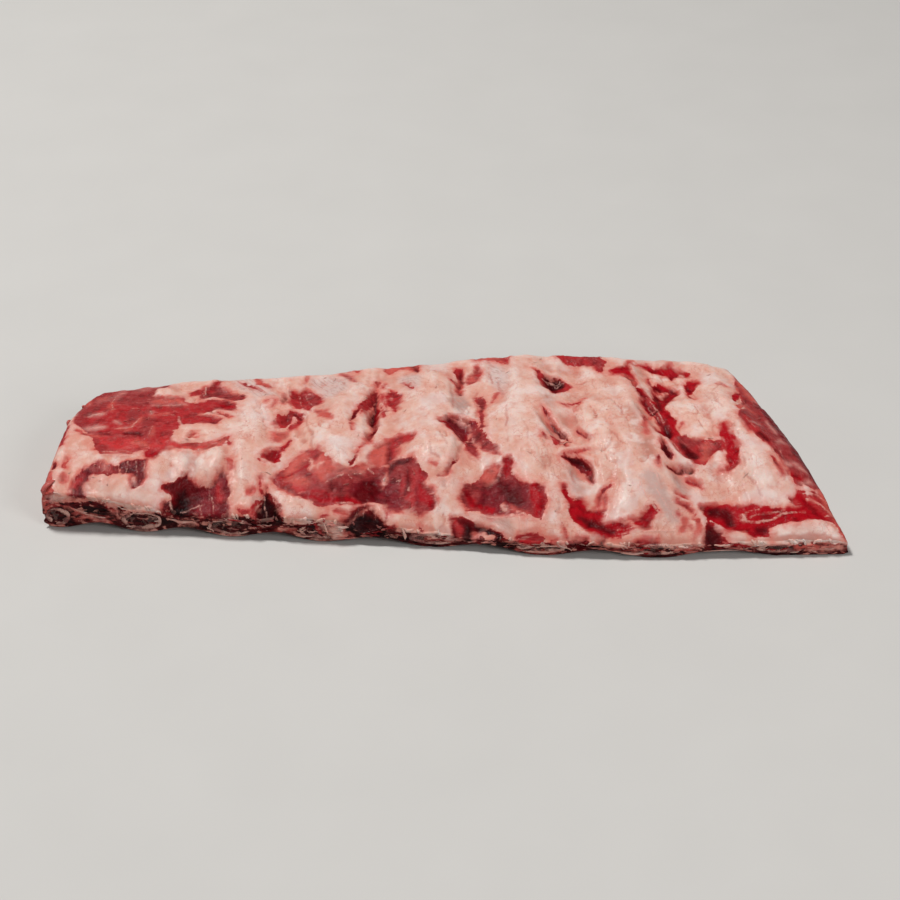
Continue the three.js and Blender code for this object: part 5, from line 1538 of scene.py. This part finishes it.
class Shade:
    """Builds a material's nodes. Lengths in it are millimetres."""

    def __init__(self, name):
        self.material = bpy.data.materials.new(name)
        self.material.use_nodes = True
        self.tree = self.material.node_tree
        self.bsdf = self.tree.nodes["Principled BSDF"]
        place = self.tree.nodes.new("ShaderNodeTexCoord").outputs["Object"]
        self.at = self.vector("SCALE", place, scale=1 / MM)

    def link(self, value, socket):
        if isinstance(value, bpy.types.NodeSocket):
            self.tree.links.new(value, socket)
        elif isinstance(value, (tuple, list, np.ndarray)) and len(socket.default_value) == 4:
            socket.default_value = (*[float(v) for v in value][:3], 1)
        else:
            socket.default_value = value

    def vector(self, operation, a, b=None, scale=None):
        node = self.tree.nodes.new("ShaderNodeVectorMath")
        node.operation = operation
        self.link(a, node.inputs[0])
        if b is not None:
            self.link(b, node.inputs[1])
        if scale is not None:
            self.link(scale, node.inputs["Scale"])
        return node.outputs[0]

    def math(self, operation, a, b=0.0, c=0.0):
        node = self.tree.nodes.new("ShaderNodeMath")
        node.operation = operation
        for value, socket in zip((a, b, c), node.inputs):
            self.link(value, socket)
        return node.outputs[0]

    def add(self, *values):
        total = values[0]
        for value in values[1:]:
            total = self.math("ADD", total, value)
        return total

    def times(self, *values):
        total = values[0]
        for value in values[1:]:
            total = self.math("MULTIPLY", total, value)
        return total

    def step(self, value, low, high, out_low=0.0, out_high=1.0):
        node = self.tree.nodes.new("ShaderNodeMapRange")
        node.interpolation_type = "SMOOTHSTEP"
        for socket, v in zip(node.inputs, (value, low, high, out_low, out_high)):
            self.link(v, socket)
        return node.outputs[0]

    def blend(self, share, a, b):
        node = self.tree.nodes.new("ShaderNodeMix")
        node.data_type = "RGBA"
        self.link(share, node.inputs["Factor"])
        self.link(a, node.inputs[6])
        self.link(b, node.inputs[7])
        return node.outputs[2]

    def value(self, name):
        node = self.tree.nodes.new("ShaderNodeAttribute")
        node.attribute_name = name
        return node.outputs["Fac"]

    def colour(self, name):
        node = self.tree.nodes.new("ShaderNodeAttribute")
        node.attribute_name = name
        return node.outputs["Color"]

    def stretched(self, turn, factors):
        """The place turned about Z by some degrees and scaled along each axis."""
        node = self.tree.nodes.new("ShaderNodeMapping")
        node.vector_type = "TEXTURE"
        self.link(self.at, node.inputs["Vector"])
        node.inputs["Rotation"].default_value = (0, 0, math.radians(turn))
        node.inputs["Scale"].default_value = factors
        return node.outputs[0]

    def noise(self, size, detail=2.0, at=None, seed=0.0):
        """Noise from 0 to 1 with bumps about size mm wide."""
        node = self.tree.nodes.new("ShaderNodeTexNoise")
        node.noise_dimensions = "4D"
        self.link(at or self.at, node.inputs["Vector"])
        node.inputs["W"].default_value = seed
        node.inputs["Scale"].default_value = 1 / size
        node.inputs["Detail"].default_value = detail
        return node.outputs["Fac"]

    def lerp(self, share, a, b):
        return self.add(a, self.times(share, self.math("SUBTRACT", b, a)))

    def place(self, axis):
        """One coordinate of the place, X or Y."""
        node = self.tree.nodes.new("ShaderNodeSeparateXYZ")
        self.link(self.at, node.inputs[0])
        return node.outputs[axis]

    def fibrous(self, size, detail, long, seed):
        """Noise drawn out along the fibres: across the rack, but down at the left near edge and along the
        ribs in the pockets on the right."""
        x, y = self.place("X"), self.place("Y")
        near_left = self.times(self.step(x, -92, -104), self.step(y, -44, -52))
        in_pockets = self.times(self.step(x, 34, 48), self.step(y, -50, -40))
        across, down, by_ribs = [
            self.noise(size, detail, self.stretched(turn, (long, 1, 1)), seed) for turn in (14, 90, -62)
        ]
        return self.lerp(in_pockets, self.lerp(near_left, across, down), by_ribs)

    def tinted(self, colour, tints, drivers):
        """Lays tints over a colour one after the other, each as far as its driver and its limit say."""
        for driver, start, full, strength, limit, tint in tints:
            share = self.step(drivers[driver], start, full, 0, strength)
            if limit:
                share = self.times(share, drivers[limit])
            colour = self.blend(share, colour, linear(tint))
        return colour

    def green(self, colour):
        node = self.tree.nodes.new("ShaderNodeSeparateColor")
        self.link(colour, node.inputs[0])
        return node.outputs["Green"]

    def cells(self, size, feature="F1"):
        node = self.tree.nodes.new("ShaderNodeTexVoronoi")
        node.feature = feature
        self.link(self.at, node.inputs["Vector"])
        node.inputs["Scale"].default_value = 1 / size
        return node.outputs["Distance"]

    def bump(self, height, distance):
        node = self.tree.nodes.new("ShaderNodeBump")
        self.link(height, node.inputs["Height"])
        node.inputs["Distance"].default_value = distance * MM
        node.inputs["Strength"].default_value = 1.0
        self.link(node.outputs[0], self.bsdf.inputs["Normal"])
        self.link(node.outputs[0], self.bsdf.inputs["Coat Normal"])

    def finish(self, colour, roughness, **fixed):
        self.link(colour, self.bsdf.inputs["Base Color"])
        self.link(roughness, self.bsdf.inputs["Roughness"])
        for key, value in fixed.items():
            self.link(value, self.bsdf.inputs[key.replace("_", " ")])
        return self.material


# Tints laid one over the other: what drives each, where it starts and where it is full, how strong it then
# is, what else limits it, and its colour (sRGB).
LEAN_TINTS = [
    ("fibres", 0.4, 0.75, 0.35, "dull", (192, 78, 76)),
    ("film", 0.5, 0.68, 0.4, "dull", (184, 86, 84)),
    ("streaks", 0.35, 0.27, 0.7, "dull", (218, 142, 130)),
    ("streaks", 0.48, 0.36, 0.25, "pale_here", (204, 124, 118)),
    ("feathers", 0.58, 0.7, 0.3, "pale_here", (110, 20, 28)),
    # Painted shade: lean darkens where it lies hollow.
    ("hollow", -0.2, -1.3, 0.35, None, (62, 3, 10)),
    ("into_lean", 1.2, 0.0, 0.25, None, (190, 56, 56)),
]
FAT_TINTS = [
    ("patches", 0.47, 0.7, 0.55, None, (214, 144, 126)),
    ("patches", 0.5, 0.34, 0.75, None, (236, 214, 207)),
    ("blushes", 0.5, 0.72, 0.5, None, (214, 138, 121)),
    ("blushes", 0.46, 0.3, 0.4, None, (236, 212, 204)),
    # Painted shade in the fat's hollows, then a painted highlight on its rises.
    ("hollow", 0.1, -1.0, 0.75, None, (196, 120, 106)),
    ("hollow", 0.0, 1.0, 0.45, None, (238, 212, 203)),
]
FAT_TINTS_OVER_VEINS = [
    ("grain", 0.3, 0.7, 0.1, None, (200, 140, 126)),
    # Painted sheen: pale patches over the fat.
    ("sheen", 0.54, 0.66, 0.5, None, (226, 206, 203)),
    ("into_lean", -8.0, -1.0, 1.0, "halo", (220, 146, 130)),
    ("into_lean", -3.5, 0.0, 1.0, "blush", (208, 96, 86)),
]
BONE_TINTS = [
    ("blotches", 0.4, 0.62, 0.9, None, (150, 74, 68)),
    ("stains", 0.5, 0.6, 0.85, None, (104, 36, 36)),
    ("specks", 0.52, 0.68, 0.65, None, (128, 40, 38)),
    ("pores", 0.22, 0.05, 0.4, None, (150, 84, 76)),
]
MARROW_TINTS = [
    ("web", 0.12, 0.02, 0.7, None, (184, 128, 114)),
    ("clots", 0.48, 0.62, 0.7, None, (34, 10, 11)),
    ("specks", 0.6, 0.72, 0.6, None, (140, 70, 62)),
]
VEINS = [(9, 0.014, 0.35, 17), (4, 0.02, 0.28, 18)]  # how far apart (mm), how thin, how strong, seed
VEIN_COLOUR = (196, 92, 80)
BONE_COLOUR, MARROW_COLOUR = (218, 166, 152), (98, 40, 35)


def flesh_material():
    m = Shade("raw_flesh")
    fine, mid = m.noise(1.3, 3), m.noise(5, 4, seed=3)
    feathers = m.fibrous(1.9, 3, 5, 7)
    ripple = m.add(
        m.times(m.math("SUBTRACT", fine, 0.5), 1.4), m.times(m.math("SUBTRACT", mid, 0.5), 3.5),
        m.times(m.math("SUBTRACT", feathers, 0.5), 3.5),
    )
    into_lean = m.add(m.value("lean"), ripple)
    blur = m.step(m.noise(13, 2, seed=2), 0.42, 0.62, 0.3, 2.6)
    is_lean = m.step(into_lean, m.times(blur, -1.0), blur)

    # Lean: darker clouds, streaks along the fibres, a film of fascia, painted shade in its hollows and a
    # redder margin.
    fibres = m.fibrous(1.0, 3, 6, 5)
    hollow = m.value("hollow")
    own = m.colour("lean_colour")
    green = m.green(own)
    striped_here = m.step(m.noise(15, 2, seed=11), 0.42, 0.6, 0.25, 1.0)
    clouds = m.step(m.noise(6, 4, seed=41), 0.48, 0.66, 0, 0.7)
    lean = m.tinted(m.blend(clouds, own, m.vector("SCALE", own, scale=0.45)), LEAN_TINTS, {
        "fibres": fibres, "film": m.noise(3.4, 4, seed=43), "streaks": m.fibrous(2.0, 3, 5, 9),
        "feathers": feathers, "hollow": hollow, "into_lean": into_lean,
        "dull": m.step(green, 0.002, 0.02, 0.12, 1.0),
        "pale_here": m.times(m.step(green, 0.014, 0.032, 0, 1), striped_here),
    })

    # Fat: creamy, pinker in patches and towards the lean, with fine veins; painted shade makes it pinker and
    # darker in hollows, a painted highlight paler on rises, and its pale patches are a painted sheen.
    fat = m.tinted(m.colour("fat_colour"), FAT_TINTS, {
        "patches": m.noise(11, 3, seed=13), "blushes": m.noise(3.6, 3, seed=15), "hollow": hollow,
    })
    for size, thin, strength, seed in VEINS:
        veins = m.math("ABSOLUTE", m.math("SUBTRACT", m.noise(size, 3, seed=seed), 0.5))
        where = m.step(m.noise(13, 2, seed=seed + 30), 0.42, 0.56)
        fat = m.blend(m.times(m.step(veins, thin, 0.2 * thin), where, strength), fat, linear(VEIN_COLOUR))
    fat = m.tinted(fat, FAT_TINTS_OVER_VEINS, {
        "grain": m.noise(0.9, 2, seed=19), "sheen": m.noise(19, 4, seed=14), "into_lean": into_lean,
        "halo": m.step(m.noise(14, 3, seed=20), 0.4, 0.6, 0.1, 0.55),
        "blush": m.step(m.noise(8, 3, seed=21), 0.35, 0.65, 0.1, 0.8),
    })
    veil = m.times(m.value("veil"), m.step(mid, 0.3, 0.6, 0.3, 0.6))
    fat = m.blend(veil, fat, m.colour("fat_colour"))

    # Silverskin over the fat, in stripes.
    silver = m.value("silver")
    stripes = m.noise(0.9, 1, m.stretched(-47, (26, 1, 1)), 23)
    fat = m.blend(m.times(silver, m.step(stripes, 0.4, 0.56, 0.2, 0.6)), fat, linear((214, 190, 184)))
    fat = m.blend(m.times(silver, m.step(stripes, 0.5, 0.34, 0, 0.45)), fat, linear((168, 120, 112)))

    colour = m.blend(is_lean, fat, lean)
    wobble = m.times(m.math("SUBTRACT", fine, 0.5), 1.6)
    is_thread = m.step(m.add(m.value("thread"), wobble), -0.4, 0.4)
    is_crease = m.step(m.add(m.value("crease"), wobble), -0.9, 0.5)
    # Creases turn darker and redder: painted shade along them.
    colour = m.blend(m.times(is_crease, 0.35), colour, linear((182, 96, 86)))
    faded = m.step(m.noise(4, 3, seed=53), 0.36, 0.56, 0.2, 0.75)
    colour = m.blend(m.times(is_thread, faded), colour, linear((226, 168, 156)))

    # The sawn face: torn scraps, pale and dark, mostly level; the darkest, near black, are partly painted
    # shade in the gaps between scraps.
    cut = m.value("cut")
    scraps = m.noise(2.4, 4, m.stretched(0, (2.2, 1, 1)), 51)
    pale_scraps = m.times(cut, m.step(scraps, 0.57, 0.63, 0, 0.8))
    on_lean = m.add(0.25, m.times(is_lean, 0.75))
    dark_scraps_and_shade = m.times(cut, on_lean, m.step(scraps, 0.48, 0.4, 0, 0.9))
    colour = m.blend(pale_scraps, colour, linear((226, 148, 134)))
    colour = m.blend(dark_scraps_and_shade, colour, linear((30, 4, 7)))

    wet = m.noise(1.6, 2, seed=29)
    dry = m.add(0.33, m.times(is_lean, 0.04))
    roughness = m.add(dry, m.step(wet, 0.6, 0.7, 0.0, -0.14))
    height = m.add(
        m.times(m.noise(0.7, 3, seed=31), 0.08), m.times(m.noise(2.6, 2, seed=37), 0.32),
        m.times(fibres, is_lean, 0.5), m.times(m.noise(1.1, 3, seed=39), is_lean, 0.3),
        m.times(stripes, silver, 0.25), m.times(scraps, cut, 0.8),
        m.times(is_thread, 0.2), m.times(is_lean, -0.25),
    )
    m.bump(height, 1.0)
    return m.finish(colour, roughness, Subsurface_Weight=0.2, Subsurface_Scale=2.0 * MM,
                    Subsurface_Radius=(1.0, 0.35, 0.25), Specular_IOR_Level=0.06,
                    Coat_Weight=0.05, Coat_Roughness=0.1)


def bone_material():
    m = Shade("cut_bone")
    pores = m.cells(0.7)
    colour = m.tinted(linear(BONE_COLOUR), BONE_TINTS, {
        "blotches": m.noise(6, 3), "stains": m.noise(4, 4, seed=9), "specks": m.noise(1.3, 3, seed=5),
        "pores": pores,
    })
    m.bump(m.add(m.noise(0.8, 3, seed=7), m.times(pores, 0.6)), 0.5)
    return m.finish(colour, 0.42, Subsurface_Weight=0.15, Subsurface_Scale=1.5 * MM,
                    Subsurface_Radius=(1.0, 0.5, 0.4), Coat_Weight=0.2, Coat_Roughness=0.2)


def marrow_material():
    m = Shade("marrow")
    web, clots = m.cells(0.8, "DISTANCE_TO_EDGE"), m.noise(1.8, 4)
    drivers = {"web": web, "clots": clots, "specks": m.noise(1.1, 2, seed=5)}
    colour = m.tinted(linear(MARROW_COLOUR), MARROW_TINTS, drivers)
    m.bump(m.add(m.step(web, 0.2, 0.0), m.times(clots, 0.5)), 0.9)
    return m.finish(colour, m.step(clots, 0.4, 0.6, 0.5, 0.28), Coat_Weight=0.25, Coat_Roughness=0.15)


# ---------------------------------------------------------------- the pieces

flesh = build_flesh()
flesh_look = flesh_material()
flesh.data.materials.append(flesh_look)
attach(flesh, "root")
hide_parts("flesh")

solid_pieces = [flesh]
bone_look, marrow_look = bone_material(), marrow_material()
for number, rib in enumerate(RIBS, 1):
    rib_seed = FIRST_SEED + SEED_STEP * number
    bone = build_bone(rib, f"bone_{number}", rib_seed)
    marrow = build_marrow(rib, f"core_{number}", rib_seed)
    for piece, look, node, slot in (
        (bone, bone_look, f"rib_bone_{number}", "bone"),
        (marrow, marrow_look, f"marrow_{number}", "marrow"),
    ):
        piece.data.materials.append(look)
        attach(piece, "root")
        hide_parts(node)
        solid_pieces.append(piece)

shreds = build_shreds(Ground(solid_pieces))
shreds.data.materials.append(flesh_look)
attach(shreds, "root")

# ---------------------------------------------------------------- floor, light and camera

# Lengths here are in metres.
FLOOR_HALF = 3.0
FLOOR_DROP = 0.0002  # how far the floor lies below the rack
CAMERA_TURN, CAMERA_RISE = math.radians(4.6), math.radians(35)  # azimuth from -Y, elevation
CAMERA_AWAY = 1.15
AIM = Vector((-0.003, 0.014, 0.0))
SENSOR, LENS = 36, 77  # millimetres, as cameras have it
KEY_LIGHT = ((-1.2, 0.6, 2.9), 0.7, 84, (1, 0.99, 0.97))  # place, size, watts, colour
FILL_LIGHT = ((1.3, -1.1, 1.0), 1.0, 12, (1, 0.99, 0.98))
LIGHT_AIM = Vector((0, 0, 0.02))
WORLD_COLOUR, WORLD_STRENGTH = (0.9, 0.89, 0.88, 1), 0.12


def build_floor():
    m = Shade("pale_floor")
    colour = m.blend(m.noise(60, 3), linear((204, 202, 199)), linear((210, 208, 205)))
    half = FLOOR_HALF / MM
    corners = [(-half, -half, 0), (half, -half, 0), (half, half, 0), (-half, half, 0)]
    floor = new_mesh("floor", corners, [(0, 1, 2, 3)])
    floor.location.z = -FLOOR_DROP
    floor.data.materials.append(m.finish(colour, 0.7))


def area_light(name, place, size, watts, colour):
    light = bpy.data.lights.new(name, "AREA")
    light.shape = "DISK"
    light.size = size
    light.energy = watts
    light.color = colour
    lamp = bpy.data.objects.new(name, light)
    lamp.location = place
    lamp.rotation_euler = (LIGHT_AIM - Vector(place)).to_track_quat("-Z", "Y").to_euler()
    bpy.context.collection.objects.link(lamp)


def build_stage():
    build_floor()
    area_light("key", *KEY_LIGHT)
    area_light("fill", *FILL_LIGHT)
    world = bpy.data.worlds.new("studio")
    world.use_nodes = True
    background = world.node_tree.nodes["Background"]
    background.inputs["Color"].default_value = WORLD_COLOUR
    background.inputs["Strength"].default_value = WORLD_STRENGTH
    bpy.context.scene.world = world


def build_camera():
    away = Vector((
        math.sin(CAMERA_TURN) * math.cos(CAMERA_RISE),
        -math.cos(CAMERA_TURN) * math.cos(CAMERA_RISE),
        math.sin(CAMERA_RISE),
    ))
    camera = bpy.data.objects.new("camera", bpy.data.cameras.new("camera"))
    camera.data.sensor_width = SENSOR
    camera.data.lens = LENS
    camera.location = AIM + away * CAMERA_AWAY
    camera.rotation_euler = (-away).to_track_quat("-Z", "Y").to_euler()
    bpy.context.collection.objects.link(camera)
    bpy.context.scene.camera = camera


build_stage()
build_camera()
bpy.context.scene.view_settings.view_transform = "Standard"

bpy.context.view_layer.update()
